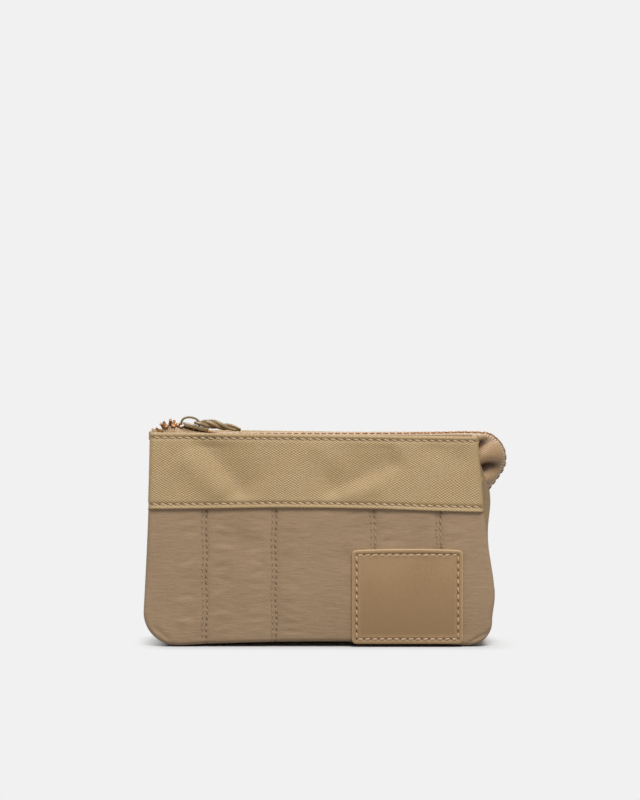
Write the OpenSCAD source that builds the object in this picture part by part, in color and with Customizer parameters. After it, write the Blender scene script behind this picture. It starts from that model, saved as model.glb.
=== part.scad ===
// Small zipped travel pouch: two padded walls on a base strip, a metal zip over the mouth
// that runs round the right-hand corner, a slider with a twisted pull, and a sewn-on patch.
// The frame is +Z up, +X to the wearer's right as seen from the front, and the front faces -Y.
// The origin is under the middle of the pouch, on the surface that it stands on.

/* [Pouch] */
// Widest part of each wall, near the base
base_w = 127.2; // [112:0.2:160]
// Height of each wall along its slope
wall_h = 76.4; // [62:0.2:96]
// Depth between the walls at the base
base_d = 24; // [18:0.5:34]
// Depth between the walls at the mouth
mouth_d = 18; // [16:0.5:24]
// How far the left edge comes in from the widest part up to the mouth
left_taper = 2; // [0:0.5:6]
// How far the right edge comes in from the widest part up to the mouth
right_taper = 6.2; // [2:0.2:10]
// Corner radius at the lower left of each wall
left_corner_r = 12; // [8:0.5:16]
// Corner radius at the lower right of each wall
right_corner_r = 8; // [5:0.5:12]

/* [Cloth] */
// Thickness of the lining
lining_t = 0.3; // [0.2:0.05:0.6]
// Thickness of the foam padding
padding_t = 1.5; // [1.2:0.1:3]
// Thickness of the nylon shell
shell_t = 0.4; // [0.3:0.05:0.8]
// Thickness of the coated band, folded edge included
band_t = 0.9; // [0.6:0.05:1.5]
// Height of the coated band
band_h = 27.2; // [18:0.2:36]
// Thickness of the base strip
base_t = 0.8; // [0.5:0.1:1.5]
// Depth of the inward fold of the side gussets at the mouth
gusset_fold = 6; // [3:0.5:9]

/* [Patch] */
// Width of the patch
patch_w = 40; // [28:0.5:46]
// Height of the patch
patch_h = 33.8; // [20:0.2:38]
// Thickness of the patch
patch_t = 1.3; // [0.8:0.1:2]
// Distance from the right edge's widest part to the patch
patch_inset = 12; // [8:0.5:20]
// Height of the patch's lower edge above the foot of the wall
patch_lift = 1; // [0.8:0.2:6]

/* [Zip] */
// Distance between neighbouring teeth of one row
tooth_pitch = 2.5; // [2.4:0.05:3]
// Height of a tooth, through the chain
tooth_h = 2.2; // [1.8:0.1:2.6]
// Thickness of the zip tape
tape_t = 0.5; // [0.35:0.05:0.6]
// Radius of the zip where it turns round the right-hand corner
ear_r = 8.8; // [8.4:0.1:10]
// How far the zip stands out past the widest part of the walls
ear_out = 4.4; // [3:0.2:6]
// How far down the right-hand side the zip runs
zip_drop = 22; // [20:0.5:25]

/* [Slider] */
// Length of the slider
slider_l = 9; // [8:0.2:10]
// Distance of the slider's middle from the left end of the mouth
slider_from_left = 16.4; // [15:0.2:20]
// Thickness of each slider plate
plate_t = 0.9; // [0.7:0.05:1.1]
// Radius of the pull's strands
strand_r = 0.55; // [0.4:0.05:0.7]
// Length of the pull from its bar to its tip
pull_l = 17; // [14:0.5:22]

/* [Stitches] */
// Distance between stitches on the band and the quilting
stitch_pitch = 2.7; // [2.2:0.1:3.4]
// Distance between stitches on the patch
patch_stitch_pitch = 3; // [2.4:0.1:3.6]
// Radius of the thread
thread_r = 0.22; // [0.15:0.01:0.3]

/* [Hidden] */

nylon = "#9a8468";
coated = "#b09a6c";
leather = "#a3835f";
thread = "#8f7a60";
lining_cloth = "#8a765c";
foam = "#d8d2c4";
tape_cloth = "#c9a98a";
copper = "#c08a55";
painted = "#8c7b4f";

// layers of a wall, as distances outwards from its inner plane
ply_gap = 0.05;
padding_in = lining_t + ply_gap;
padding_out = padding_in + padding_t;
shell_in = padding_out + ply_gap;
shell_out = shell_in + shell_t;
band_in = shell_out + ply_gap;
band_out = band_in + band_t;
tape_mid = lining_t + ply_gap + tape_t / 2;
rabbet = tape_t + 2 * ply_gap;
flange = 7;
shell_under_band = 2;

// edges of a wall
foot = 0.4;
lean = atan((base_d - mouth_d) / 2 / wall_h);
x_left = -(base_w + ear_out) / 2;
x_right = x_left + base_w;
x_mouth_left = x_left + left_taper;
x_mouth_right = x_right - right_taper;
widest_right_v = 20;
lower_right_in = 1.7;
corner_steps = 6;
band_v = wall_h - band_h;
lining_drop = 2.8;

// joint gaps: the walls swing in a little when the zip is pulled fully shut
swing_gap = 0.2;
swing_slope = 0.012;

function lerp(a, b, t) = a + (b - a) * t;
function unit(v) = v / norm(v);

// corners of a wall, counter-clockwise from the lower left, in (x, height up the wall)
function arc(centre, r, from, to, steps) =
    [for (i = [0:steps]) centre + r * [cos(lerp(from, to, i / steps)), sin(lerp(from, to, i / steps))]];
wall_outline = concat(
    arc([x_left + left_corner_r, left_corner_r], left_corner_r, 180, 270, corner_steps),
    arc([x_right - lower_right_in - right_corner_r, right_corner_r], right_corner_r, 270, 360, corner_steps),
    [[x_right, widest_right_v], [x_mouth_right, wall_h], [x_mouth_left, wall_h]]
);

function edge_normal(a, b) = unit([a[1] - b[1], b[0] - a[0]]);
function inset(p, d) = [
    for (i = [0:len(p) - 1])
        let (
            before = edge_normal(p[(i + len(p) - 1) % len(p)], p[i]),
            after = edge_normal(p[i], p[(i + 1) % len(p)])
        )
        p[i] + d * (before + after) / (1 + before * after)
];
function right_edge(v) = lerp(x_right, x_mouth_right, (v - widest_right_v) / (wall_h - widest_right_v));
function left_edge(v) = lerp(x_left, x_mouth_left, (v - left_corner_r) / (wall_h - left_corner_r));

// a point of the front wall: x, height up the wall, distance outwards
function wall_point(x, v, w) = [
    x,
    -base_d / 2 + v * sin(lean) - w * cos(lean),
    foot + v * cos(lean) + w * sin(lean)
];
function half_depth(z) = base_d / 2 - (z - foot) * tan(lean);

module front_wall() {
    translate([0, -base_d / 2, foot]) rotate([90 - lean, 0, 0]) children();
}
module back_wall() {
    mirror([0, 1, 0]) front_wall() children();
}
// a layer of a wall between two distances outwards
module layer(from, to, edge_in = 0) {
    translate([0, 0, from]) linear_extrude(to - from) polygon(inset(wall_outline, edge_in));
}
module above(v) {
    translate([x_left - 1, v, -1]) cube([base_w + 2, wall_h, 10]);
}

// ---------- walls ----------
module shell_layer() {
    difference() {
        layer(shell_in, shell_out);
        above(band_v + shell_under_band);
    }
}
module padding_layer() {
    difference() {
        layer(padding_in, padding_out, 1.2);
        // room for the sewn-in edge of the zip tape, along the mouth and down the right-hand side
        translate([x_left, wall_h - flange - 1.5, padding_in - 1]) cube([base_w, wall_h, 1 + rabbet]);
        translate([x_mouth_right - flange - 3, wall_h - zip_drop - 2, padding_in - 1])
            cube([base_w, wall_h, 1 + rabbet]);
    }
}
module band_layer() {
    intersection() {
        layer(band_in, band_out);
        above(band_v);
    }
}
module lining_layer() {
    difference() {
        layer(0, lining_t, 3);
        above(wall_h - lining_drop);
    }
}
module front_panel() { color(nylon) front_wall() shell_layer(); }
module back_panel() { color(nylon) back_wall() shell_layer(); }
module front_padding() { color(foam) front_wall() padding_layer(); }
module back_padding() { color(foam) back_wall() padding_layer(); }
module front_band() { color(coated) front_wall() band_layer(); }
module back_band() { color(coated) back_wall() band_layer(); }
module front_lining() { color(lining_cloth) front_wall() lining_layer(); }
module back_lining() { color(lining_cloth) back_wall() lining_layer(); }

// slip pocket for cards, on the back lining
pocket_w = 96;
pocket_h = 52;
pocket_v = 8;
module card_pocket() {
    color(lining_cloth) back_wall()
        translate([(x_left + x_right) / 2 - pocket_w / 2, pocket_v, -0.3 - lining_t])
            cube([pocket_w, pocket_h, lining_t]);
}

// ---------- patch ----------
patch_x = x_right - patch_inset - patch_w;
patch_corner = 1.5;
patch_border = 2.6;
patch_recess = 0.25;
module patch() {
    color(leather) front_wall() translate([patch_x, patch_lift, shell_out + ply_gap]) difference() {
        rounded_plate(patch_w, patch_h, patch_t, patch_corner);
        translate([patch_border, patch_border, patch_t - patch_recess])
            cube([patch_w - 2 * patch_border, patch_h - 2 * patch_border, 1]);
    }
}
module rounded_plate(w, h, t, r) {
    linear_extrude(t) polygon(concat(
        arc([r, r], r, 180, 270, 4), arc([w - r, r], r, 270, 360, 4),
        arc([w - r, h - r], r, 0, 90, 4), arc([r, h - r], r, 90, 180, 4)
    ));
}

// ---------- stitches ----------
stitch_gap = 0.02;
stitch_share = 0.72;
// a row of stitches from a to b, lying on the face at distance w from the inner plane
module stitch_row(a, b, w, pitch) {
    count = floor(norm(b - a) / pitch);
    step = (b - a) / count;
    for (i = [0:count - 1])
        let (at = a + step * (i + 0.5))
        translate([at[0], at[1], w + thread_r + stitch_gap])
            rotate([0, 0, atan2(step[1], step[0])]) rotate([0, 90, 0])
                cylinder(r = thread_r, h = norm(step) * stitch_share, center = true, $fn = 16);
}
band_row_in = 1.7;
row_end = 1.2;
module band_rows() {
    for (v = [wall_h - band_row_in, band_v + band_row_in])
        stitch_row([left_edge(v) + row_end, v], [right_edge(v) - row_end, v], band_out, stitch_pitch);
}
module front_band_stitches() { color(thread) front_wall() band_rows(); }
module back_band_stitches() { color(thread) back_wall() band_rows(); }

quilt_x = [-43, -18, 17.6, 41.4];
// each quilting seam is two rows, this far apart
quilt_pair = 1.4;
quilt_top = band_v - 0.8;
quilt_foot = 2.5;
// a quilting seam stops above the patch where the patch covers it
function covered(x) = x > patch_x - 1 && x < patch_x + patch_w + 1;
module quilt_rows(with_patch) {
    for (seam_x = quilt_x, x = [seam_x, seam_x - quilt_pair]) {
        foot_v = with_patch && covered(x) ? patch_lift + patch_h + 1 : quilt_foot;
        stitch_row([x, foot_v], [x, quilt_top], shell_out, stitch_pitch * 0.8);
    }
}
module front_quilt_stitches() { color(thread) front_wall() quilt_rows(true); }
module back_quilt_stitches() { color(thread) back_wall() quilt_rows(false); }

patch_row_in = 1.3;
module patch_stitches() {
    face = shell_out + ply_gap + patch_t;
    lo = [patch_x + patch_row_in, patch_lift + patch_row_in];
    hi = [patch_x + patch_w - patch_row_in, patch_lift + patch_h - patch_row_in];
    color(thread) front_wall() {
        stitch_row(lo, [hi[0], lo[1]], face, patch_stitch_pitch);
        stitch_row([hi[0], lo[1]], hi, face, patch_stitch_pitch);
        stitch_row(hi, [lo[0], hi[1]], face, patch_stitch_pitch);
        stitch_row([lo[0], hi[1]], lo, face, patch_stitch_pitch);
    }
}

// ---------- base strip and side gussets ----------
gusset_from = 18;
strip_in = 0.5;
module between_walls(extra) {
    top_z = wall_h + foot;
    rotate([90, 0, 90]) translate([0, 0, x_left - 5]) linear_extrude(base_w + 10) polygon([
        [-half_depth(0) + swing_gap + extra, 0], [half_depth(0) - swing_gap - extra, 0],
        [half_depth(top_z) - swing_gap - extra - swing_slope * top_z, top_z],
        [-half_depth(top_z) + swing_gap + extra + swing_slope * top_z, top_z]
    ]);
}
// a strip that follows the lower edge of the walls, seen from the front
module edge_strip(from, to) {
    rotate([90, 0, 0]) linear_extrude(base_d * 2, center = true) difference() {
        polygon(inset(wall_outline, from));
        polygon(inset(wall_outline, to));
        translate([x_left - 1, gusset_from]) square([base_w + 2, wall_h]);
    }
}
module base_panel() {
    color(nylon) intersection() {
        translate([0, 0, -strip_in]) edge_strip(strip_in, strip_in + base_t);
        between_walls(0);
    }
}
module base_lining() {
    color(lining_cloth) intersection() {
        translate([0, 0, -strip_in]) edge_strip(strip_in + base_t + ply_gap, strip_in + base_t + ply_gap + lining_t);
        between_walls(0.3);
    }
}

// one leaf of a gusset: a bent sheet from the wall's edge to the fold, as six-sided solid halves
function gusset_y(z) = half_depth(z) - swing_gap - swing_slope * z;
module leaf(wall_low, fold_low, fold_top, wall_top, t) {
    across = [t, 0, 0];
    p = [wall_low, fold_low, fold_top, wall_top];
    q = [for (c = p) c + across];
    polyhedron(
        points = concat(p, q),
        faces = [
            [0, 1, 2], [0, 2, 3], [6, 5, 4], [7, 6, 4],
            [1, 0, 4, 5], [2, 1, 5, 6], [3, 2, 6, 7], [0, 3, 7, 4]
        ]
    );
}
// side is -1 for the left and 1 for the right; the fold points inwards
module gusset(side, edge_low, edge_top, z_top, fold) {
    z_low = gusset_from - strip_in + 0.05;
    t = shell_t + lining_t;
    for (mirrored = [0, 1]) mirror([0, mirrored, 0])
        leaf(
            [edge_low, -gusset_y(z_low), z_low], [edge_low, 0, z_low],
            [edge_top - side * fold, 0, z_top], [edge_top, -gusset_y(z_top), z_top],
            -side * t
        );
}
edge_inset = strip_in + 0.1;
gusset_top_gap = 6;
module left_gusset() {
    z_top = wall_h - gusset_top_gap;
    color(nylon) gusset(-1, left_edge(gusset_from) + edge_inset, left_edge(z_top) + edge_inset, z_top, gusset_fold);
}
module right_gusset() {
    z_top = wall_h - zip_drop - 1.5;
    color(nylon) gusset(1, right_edge(widest_right_v) - edge_inset - 0.5, right_edge(z_top) - edge_inset, z_top,
        gusset_fold * 0.6);
}

// ---------- zip ----------
// the line of the tape's thickened edge, seen from the front, from the closed end at the left,
// over the slider's place, along the mouth, round the right-hand corner and down the side
mouth_z = foot + wall_h;
slider_x = x_mouth_left + slider_from_left;
slider_tilt = 8.6;
slider_z = mouth_z + 0.3;
ear = [x_right + ear_out - ear_r - tooth_h / 2, mouth_z - ear_r - 0.6];
function near_slider(d) = [slider_x + d, slider_z - d * tan(slider_tilt)];
zip_route = concat(
    [
        [slider_x - 13, mouth_z - 2], [slider_x - 12.1, mouth_z + 0.4], [slider_x - 9.8, mouth_z + 2.1],
        [slider_x - 7.2, mouth_z + 2], near_slider(-slider_l / 2), near_slider(0), near_slider(slider_l / 2),
        [slider_x + 10.4, mouth_z - 1.45], [slider_x + 18.4, mouth_z - 1.6], [slider_x + 30, mouth_z - 1.6],
        [0, mouth_z - 1.6], [x_mouth_right - 29, mouth_z - 1.5], [x_mouth_right - 10, mouth_z - 1.3],
        [x_mouth_right - 3, mouth_z - 0.9]
    ],
    [for (a = [75:-23:-40]) ear + ear_r * [cos(a), sin(a)]],
    [[x_mouth_right + 3.2, mouth_z - zip_drop + 1.4], [x_mouth_right + 0.8, mouth_z - zip_drop - 0.6]]
);

// a smooth curve through the route, as a table from length along it to x and z
smooth_steps = 8;
function spline(a, b, c, d, t) =
    0.5 * (2 * b + (c - a) * t + (2 * a - 5 * b + 4 * c - d) * t * t + (3 * b - a - 3 * c + d) * t * t * t);
function clamp_at(p, i) = p[max(0, min(len(p) - 1, i))];
curve = concat(
    [for (i = [0:len(zip_route) - 2], k = [0:smooth_steps - 1])
        spline(clamp_at(zip_route, i - 1), zip_route[i], zip_route[i + 1], clamp_at(zip_route, i + 2), k / smooth_steps)],
    [zip_route[len(zip_route) - 1]]
);
curve_s = [for (i = 0, s = 0; i < len(curve); s = s + (i < len(curve) - 1 ? norm(curve[i + 1] - curve[i]) : 0), i = i + 1) s];
x_table = [for (i = [0:len(curve) - 1]) [curve_s[i], curve[i][0]]];
z_table = [for (i = [0:len(curve) - 1]) [curve_s[i], curve[i][1]]];
s_table = [for (i = [0:(len(zip_route) - 10) * smooth_steps]) [curve[i][0], curve_s[i]]];
zip_l = curve_s[len(curve_s) - 1];
slider_s = lookup(slider_x, s_table);
corner_s = lookup(x_mouth_right - 3, s_table);
function zip_x(s) = lookup(s, x_table);
function zip_z(s) = lookup(s, z_table);
function slope(s) = atan2(zip_z(s + 0.4) - zip_z(s - 0.4), zip_x(s + 0.4) - zip_x(s - 0.4));

// the rows part inside the slider and turn up past its mouth
half_chain = 1.9;
mouth_part = 1.6;
function past(s) = slider_s - slider_l / 2 - s;
function part_by(s) =
    past(s) > 0 ? mouth_part + 0.9 * min(1, past(s) / 3) :
    max(0, mouth_part * (slider_s + 0.8 - s) / (slider_l / 2 + 0.8));
function turn_up(s) = past(s) > 1.5 ? 65 * min(1, (past(s) - 1.5) / 2.4) : 0;

// a tooth: a head that meshes with the other row, and two legs that grip the tape's edge
head_l = 1;
leg_l = 1.15;
leg_gap = tape_t + 0.4;
head_from = 0.7;
head_reach = half_chain + 0.55;
leg_out = 0.5;
module tooth() {
    difference() {
        union() {
            translate([-head_l / 2, head_from - 0.1, -tooth_h / 2]) cube([head_l, head_reach - head_from + 0.1, tooth_h]);
            translate([-leg_l / 2, -leg_out, -tooth_h / 2]) cube([leg_l, head_from + leg_out, tooth_h]);
        }
        translate([-leg_l, -leg_out - 1, -leg_gap / 2]) cube([2 * leg_l, 1 + leg_out + head_from - 0.25, leg_gap]);
    }
}
module on_zip(s) {
    translate([zip_x(s), -half_chain - part_by(s), zip_z(s)])
        rotate([0, -slope(s), 0]) rotate([turn_up(s), 0, 0]) children();
}
end_gap = 2.4;
module tooth_row(shift) {
    for (s = [end_gap + shift:tooth_pitch:zip_l - end_gap - 1]) on_zip(s) tooth();
}
module zip_teeth_front() { color(copper) tooth_row(0); }
module zip_teeth_back() { color(copper) mirror([0, 1, 0]) tooth_row(tooth_pitch / 2); }

stop_l = 1.6;
module zip_top_stops() {
    color(copper) for (side = [0, 1]) mirror([0, side, 0]) on_zip(end_gap - 1.7)
        translate([-stop_l / 2, -0.4, tape_t / 2 + 0.4]) cube([stop_l, 1.6, 0.8]);
}
module zip_bottom_stop() {
    s = zip_l - 1.4;
    color(copper) translate([zip_x(s), 0, zip_z(s)]) rotate([0, -slope(s), 0])
        translate([-stop_l / 2, -half_chain - 0.6, tape_t / 2 + 0.06])
            cube([stop_l, 2 * half_chain + 1.2, 0.8]);
}

// the tape: from between the teeth's legs, across to the wall, and down inside it
tape_edge = 0.15;
tape_bend = 0.9;
seam_in = 1.1;
seam_v = wall_h - 0.6;
function corner_share(s) = max(0, min(1, (s - corner_s) / (zip_l - corner_s)));
seam_corner = [x_mouth_right - seam_in, seam_v];
seam_end = [right_edge(wall_h - zip_drop) - seam_in, wall_h - zip_drop];
function seam(s) =
    corner_share(s) > 0 ? lerp(seam_corner, seam_end, corner_share(s)) :
    [min(max(zip_x(s), x_mouth_left + seam_in), seam_corner[0]), seam_v];
function tape_section(s) =
    let (
        n = [-sin(slope(s)) * cos(turn_up(s)), -sin(turn_up(s)), cos(slope(s)) * cos(turn_up(s))],
        u = [-sin(slope(s)) * sin(turn_up(s)), cos(turn_up(s)), cos(slope(s)) * sin(turn_up(s))],
        bead = [zip_x(s), -half_chain - part_by(s), zip_z(s)],
        at = seam(s),
        out = wall_point(0, 0, 1) - wall_point(0, 0, 0),
        way = 90 * corner_share(s),
        bend_n = unit(n + out),
        inner = bead + u * tape_edge,
        outer = bead - u * tape_bend,
        top = wall_point(at[0], at[1], tape_mid),
        end = wall_point(at[0] - flange * sin(way), at[1] - flange * cos(way), tape_mid),
        half = tape_t / 2
    )
    [
        inner + n * half, outer + n * half, top + bend_n * half, end + out * half,
        end - out * half, top - bend_n * half, outer - n * half, inner - n * half
    ];
tape_stations = 76;
// a closed solid through a run of rings that all have the same even number of points
module skin(rings) {
    n = len(rings[0]);
    last = len(rings) - 1;
    polyhedron(
        points = [for (r = rings) each r],
        faces = concat(
            [for (k = [0:n / 2 - 2]) each [[k, k + 1, n - 2 - k], [k, n - 2 - k, n - 1 - k]]],
            [for (k = [0:n / 2 - 2]) each [
                [last * n + n - 2 - k, last * n + k + 1, last * n + k],
                [last * n + n - 1 - k, last * n + n - 2 - k, last * n + k]
            ]],
            [for (i = [0:last - 1], k = [0:n - 1])
                [i * n + k, (i + 1) * n + k, (i + 1) * n + (k + 1) % n]],
            [for (i = [0:last - 1], k = [0:n - 1])
                [i * n + k, (i + 1) * n + (k + 1) % n, i * n + (k + 1) % n]]
        )
    );
}
module tape() {
    skin([for (i = [0:tape_stations]) tape_section(0.3 + (zip_l - 0.6) * i / tape_stations)]);
}
module zip_tape_front() { color(tape_cloth) tape(); }
module zip_tape_back() { color(tape_cloth) mirror([0, 1, 0]) tape(); }

// ---------- slider ----------
chain_gap = 0.28;
rim_t = 0.75;
slot_half = tape_t / 2 + 0.3;
chamber_half = tooth_h / 2 + 0.25;
body_half = chamber_half + plate_t;
mouth_half = half_chain + leg_out + mouth_part + chain_gap;
tail_half = half_chain + leg_out + chain_gap;
module at_slider() {
    translate([slider_x, 0, slider_z]) rotate([0, slider_tilt, 0]) children();
}
function slider_plan(grow) = [
    [-slider_l / 2, -mouth_half - grow], [slider_l / 2 - 1, -tail_half - grow], [slider_l / 2, -tail_half - grow + 1],
    [slider_l / 2, tail_half + grow - 1], [slider_l / 2 - 1, tail_half + grow], [-slider_l / 2, mouth_half + grow],
    [-slider_l / 2 - 0.6, mouth_half * 0.5], [-slider_l / 2 - 0.6, -mouth_half * 0.5]
];
module slider_body() {
    color(painted) at_slider() union() {
        difference() {
            translate([0, 0, -body_half]) linear_extrude(2 * body_half) polygon(slider_plan(rim_t));
            // chamber for the teeth, open at both ends
            translate([0, 0, -chamber_half]) linear_extrude(2 * chamber_half) polygon([
                [-slider_l, -mouth_half - (mouth_half - tail_half) * 0.57],
                [slider_l, -tail_half + (mouth_half - tail_half) * 0.57],
                [slider_l, tail_half - (mouth_half - tail_half) * 0.57],
                [-slider_l, mouth_half + (mouth_half - tail_half) * 0.57]
            ]);
            // slots for the tapes
            translate([-slider_l, -10, -slot_half]) cube([2 * slider_l, 20, 2 * slot_half]);
        }
        // the post that parts the rows
        translate([0, 0, -chamber_half - 0.1]) linear_extrude(2 * chamber_half + 0.2)
            polygon([[-slider_l / 2 - 0.2, -0.7], [-slider_l / 2 + 1, -0.42], [-slider_l / 2 + 2.2, 0],
                [-slider_l / 2 + 1, 0.42], [-slider_l / 2 - 0.2, 0.7]]);
    }
}

bridge_w = 1.6;
bridge_t = 0.7;
bridge_inner = [2.7, 2.9];
bridge_shift = -2;
module slider_bridge() {
    outer = bridge_inner + [bridge_t, bridge_t];
    color(painted) at_slider() translate([bridge_shift, bridge_w / 2, body_half]) rotate([90, 0, 0])
        linear_extrude(bridge_w) polygon(concat(
            [for (a = [0:15:180]) [outer[0] * cos(a), outer[1] * sin(a)]],
            [for (a = [180:-15:0]) [bridge_inner[0] * cos(a), bridge_inner[1] * sin(a)]]
        ));
}

// ---------- pull ----------
bar_x = bridge_shift + 1.55;
bar_up = strand_r + 0.32;
bar_half = bridge_w / 2 + strand_r + 0.25;
pull_tilt = 8.2;
bar_place = [
    slider_x + bar_x * cos(slider_tilt) + (body_half + bar_up) * sin(slider_tilt),
    0,
    slider_z - bar_x * sin(slider_tilt) + (body_half + bar_up) * cos(slider_tilt)
];
straddle_l = 4.6;
narrow_l = 3.4;
twist_turns = 1.25;
// a strand: half the bar, a leg beside the bridge, then a twist with the other strand
function strand_centre(t) =
    t < 0.08 ? [0, bar_half * t / 0.08 * 0.8, 0] :
    t < 0.16 ? let (a = 90 * (t - 0.08) / 0.08) [bar_half * 0.45 * (1 - cos(a)), bar_half * (0.8 + 0.2 * sin(a)), 0] :
    let (
        q = (t - 0.16) / 0.84,
        x = lerp(bar_half * 0.45, pull_l, q),
        w = max(0, (x - straddle_l - 1) / (pull_l - straddle_l - 1)),
        a = 360 * twist_turns * w,
        r = lerp(bar_half, strand_r * 1.45, max(0, min(1, (x - straddle_l) / narrow_l)))
    ) [x, r * cos(a), r * sin(a)];
strand_rings = 44;
strand_sides = 8;
function strand_ring(t) =
    let (
        c = strand_centre(t),
        way = unit(strand_centre(min(1, t + 0.01)) - strand_centre(max(0, t - 0.01))),
        side = unit(cross(way, [0, 0, 1])),
        up = cross(way, side)
    )
    [for (k = [0:strand_sides - 1]) c + strand_r * (side * cos(360 * k / strand_sides) + up * sin(360 * k / strand_sides))];
module strand() {
    skin([for (i = [0:strand_rings]) strand_ring(i / strand_rings)]);
}
module puller() {
    color(painted) translate(bar_place) rotate([0, pull_tilt, 0]) {
        strand();
        rotate([180, 0, 0]) strand();
        // the bar that turns in the bridge, and the end that joins the strands
        rotate([90, 0, 0]) cylinder(r = strand_r + 0.02, h = 1.2 * bar_half, center = true, $fn = 24);
        translate([pull_l - 1.2, 0, 0]) rotate([0, 90, 0]) cylinder(r = strand_r * 2.1, h = 2.2, $fn = 24);
    }
}

base_panel();
base_lining();
left_gusset();
right_gusset();
zip_top_stops();
zip_bottom_stop();
front_panel();
front_padding();
front_band();
front_lining();
front_band_stitches();
front_quilt_stitches();
patch();
patch_stitches();
zip_tape_front();
zip_teeth_front();
back_panel();
back_padding();
back_band();
back_lining();
card_pocket();
back_band_stitches();
back_quilt_stitches();
zip_tape_back();
zip_teeth_back();
slider_body();
slider_bridge();
puller();
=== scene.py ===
"""Zipped travel pouch: the looks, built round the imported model.

Lengths are in millimetres until a piece's points are set, and then in metres. A point of a wall is
(x, v, w): across, up the wall, and out from its inner plane. side is -1 for the front, 1 for the back.
"""

import math

import bpy
import numpy as np
from mathutils import Matrix, Vector


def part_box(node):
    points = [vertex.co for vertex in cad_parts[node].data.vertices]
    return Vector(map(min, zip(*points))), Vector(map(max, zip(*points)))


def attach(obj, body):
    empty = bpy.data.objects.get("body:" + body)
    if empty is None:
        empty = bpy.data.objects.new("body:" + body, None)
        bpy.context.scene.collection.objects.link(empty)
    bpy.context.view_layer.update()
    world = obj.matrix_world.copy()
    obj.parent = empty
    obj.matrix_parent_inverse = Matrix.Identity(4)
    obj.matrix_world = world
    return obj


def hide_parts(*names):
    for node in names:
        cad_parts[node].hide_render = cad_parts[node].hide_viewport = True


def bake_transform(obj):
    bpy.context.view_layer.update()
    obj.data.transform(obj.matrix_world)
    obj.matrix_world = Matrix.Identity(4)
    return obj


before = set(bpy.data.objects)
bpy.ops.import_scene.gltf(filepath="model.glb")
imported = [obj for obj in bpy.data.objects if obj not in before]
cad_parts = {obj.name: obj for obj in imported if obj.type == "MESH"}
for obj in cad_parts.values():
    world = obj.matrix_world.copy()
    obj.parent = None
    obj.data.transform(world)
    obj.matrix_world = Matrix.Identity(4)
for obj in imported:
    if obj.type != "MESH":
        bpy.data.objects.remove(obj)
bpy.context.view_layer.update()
FRONT, BACK = -1, 1
label = {FRONT: "front", BACK: "back"}

# ---------------------------------------------------------------- sizes
wall_h = 76.4
base_d, mouth_d = 24.0, 18.0
foot = 0.4
lean = math.atan((base_d - mouth_d) / 2 / wall_h)
x_left, x_right = -65.8, 61.4
mouth_left, mouth_right = -63.8, 55.2
slimmer = 0.45
left_r, right_r = 12.0, 8.5
widest_v = 20.0
band_foot = 49.2
shell_out = 2.35
band_out = 3.25
quilt_seams = [-43.0, -18.0, 17.6, 41.4]
quilt_pair = 1.4
quilt_pitch = 2.16
band_pitch = 2.7
band_row_in = 1.75
patch_lo, patch_hi = (9.4, 1.0), (49.4, 34.8)
patch_t = 1.3
patch_row_in = 1.75
gusset_from = 17.6
arch_h = 1.4
row_end_in = 1.2
shell_turn, shell_t, shell_skirt = 1.6, 1.3, 1.5
band_turn, band_t, band_skirt = 1.5, 0.42, 2.3
band_fold_r, band_hem_r = 1.05, 0.42
patch_corner_r, patch_turn, patch_sink = 1.6, 0.5, 0.35
lining_t, lining_from, lining_short = 0.25, 0.9, 3.4
quilt_low, quilt_top = 2.5, band_foot - 0.8
band_rows = wall_h - band_row_in, band_foot + band_row_in


def unit(x):
    """x held between 0 and 1."""
    return np.clip(x, 0, 1)


def bell(x, wide):
    """A smooth rise and fall: 1 at nought, and about a third of that at wide."""
    return np.exp(-((x / wide) ** 2))


def run_length(p):
    """How far along a line of points each of them lies."""
    return np.concatenate([[0], np.cumsum(np.hypot(*np.diff(p, axis=0).T))])


# ---------------------------------------------------------------- shape of the walls
def left_edge(v):
    v = np.asarray(v, float)
    arc = x_left + left_r - np.sqrt(np.clip(left_r**2 - (left_r - v) ** 2, 0, None))
    q = unit((v - left_r) / (wall_h - left_r))
    line = x_left + (mouth_left + slimmer - x_left) * q + 0.35 * np.sin(np.pi * q)
    return np.where(v < left_r, arc, line)


def right_edge(v, side=FRONT):
    v = np.asarray(v, float)
    low = x_right - 1.3
    arc = low - right_r + np.sqrt(np.clip(right_r**2 - (right_r - v) ** 2, 0, None))
    rise = unit((v - right_r) / (widest_v - right_r))
    q = unit((v - widest_v) / (wall_h - widest_v))
    widest = 1.3 * np.sin(np.pi / 2 * rise) ** 2 - 0.35 * bell(v - widest_v, 3.5)
    if side == FRONT:
        widest = widest - 0.95 * np.sin(np.pi * q**0.85)
    else:
        widest = widest + 2.8 * bell(v - 54, 10)
    line = low + widest + (mouth_right - slimmer - x_right) * q
    return np.where(v < right_r, arc, line)


def foot_arch(x):
    """How far the foot of the pouch stands clear of the ground between its corners."""
    q = unit((np.asarray(x, float) + 52) / 101)
    return arch_h * np.sin(np.pi * q) ** 0.8


def crown(x, v):
    """The soft outward swell of a filled wall."""
    across = np.clip(1 - ((np.asarray(x, float) + 2.2) / 64) ** 2, 0, None)
    up = np.sin(np.pi * unit(np.asarray(v, float) / wall_h)) ** 0.8
    return 1.5 * across**0.7 * up


def wall_point(x, v, w, side):
    """Wall coordinates in millimetres to a point of the row frame in metres."""
    x, v, w = np.broadcast_arrays(*[np.asarray(a, float) for a in (x, v, w)])
    y = -base_d / 2 + v * math.sin(lean) - w * math.cos(lean)
    z = foot + v * math.cos(lean) + w * math.sin(lean)
    return np.stack([x, -side * y, z], -1) / 1000


def outline(side, steps=60):
    v = np.linspace(0, wall_h, steps * 3)
    up = np.stack([left_edge(v), v], 1)
    down = np.stack([right_edge(v, side), v], 1)[::-1]
    return np.vstack([up, down])


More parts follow.
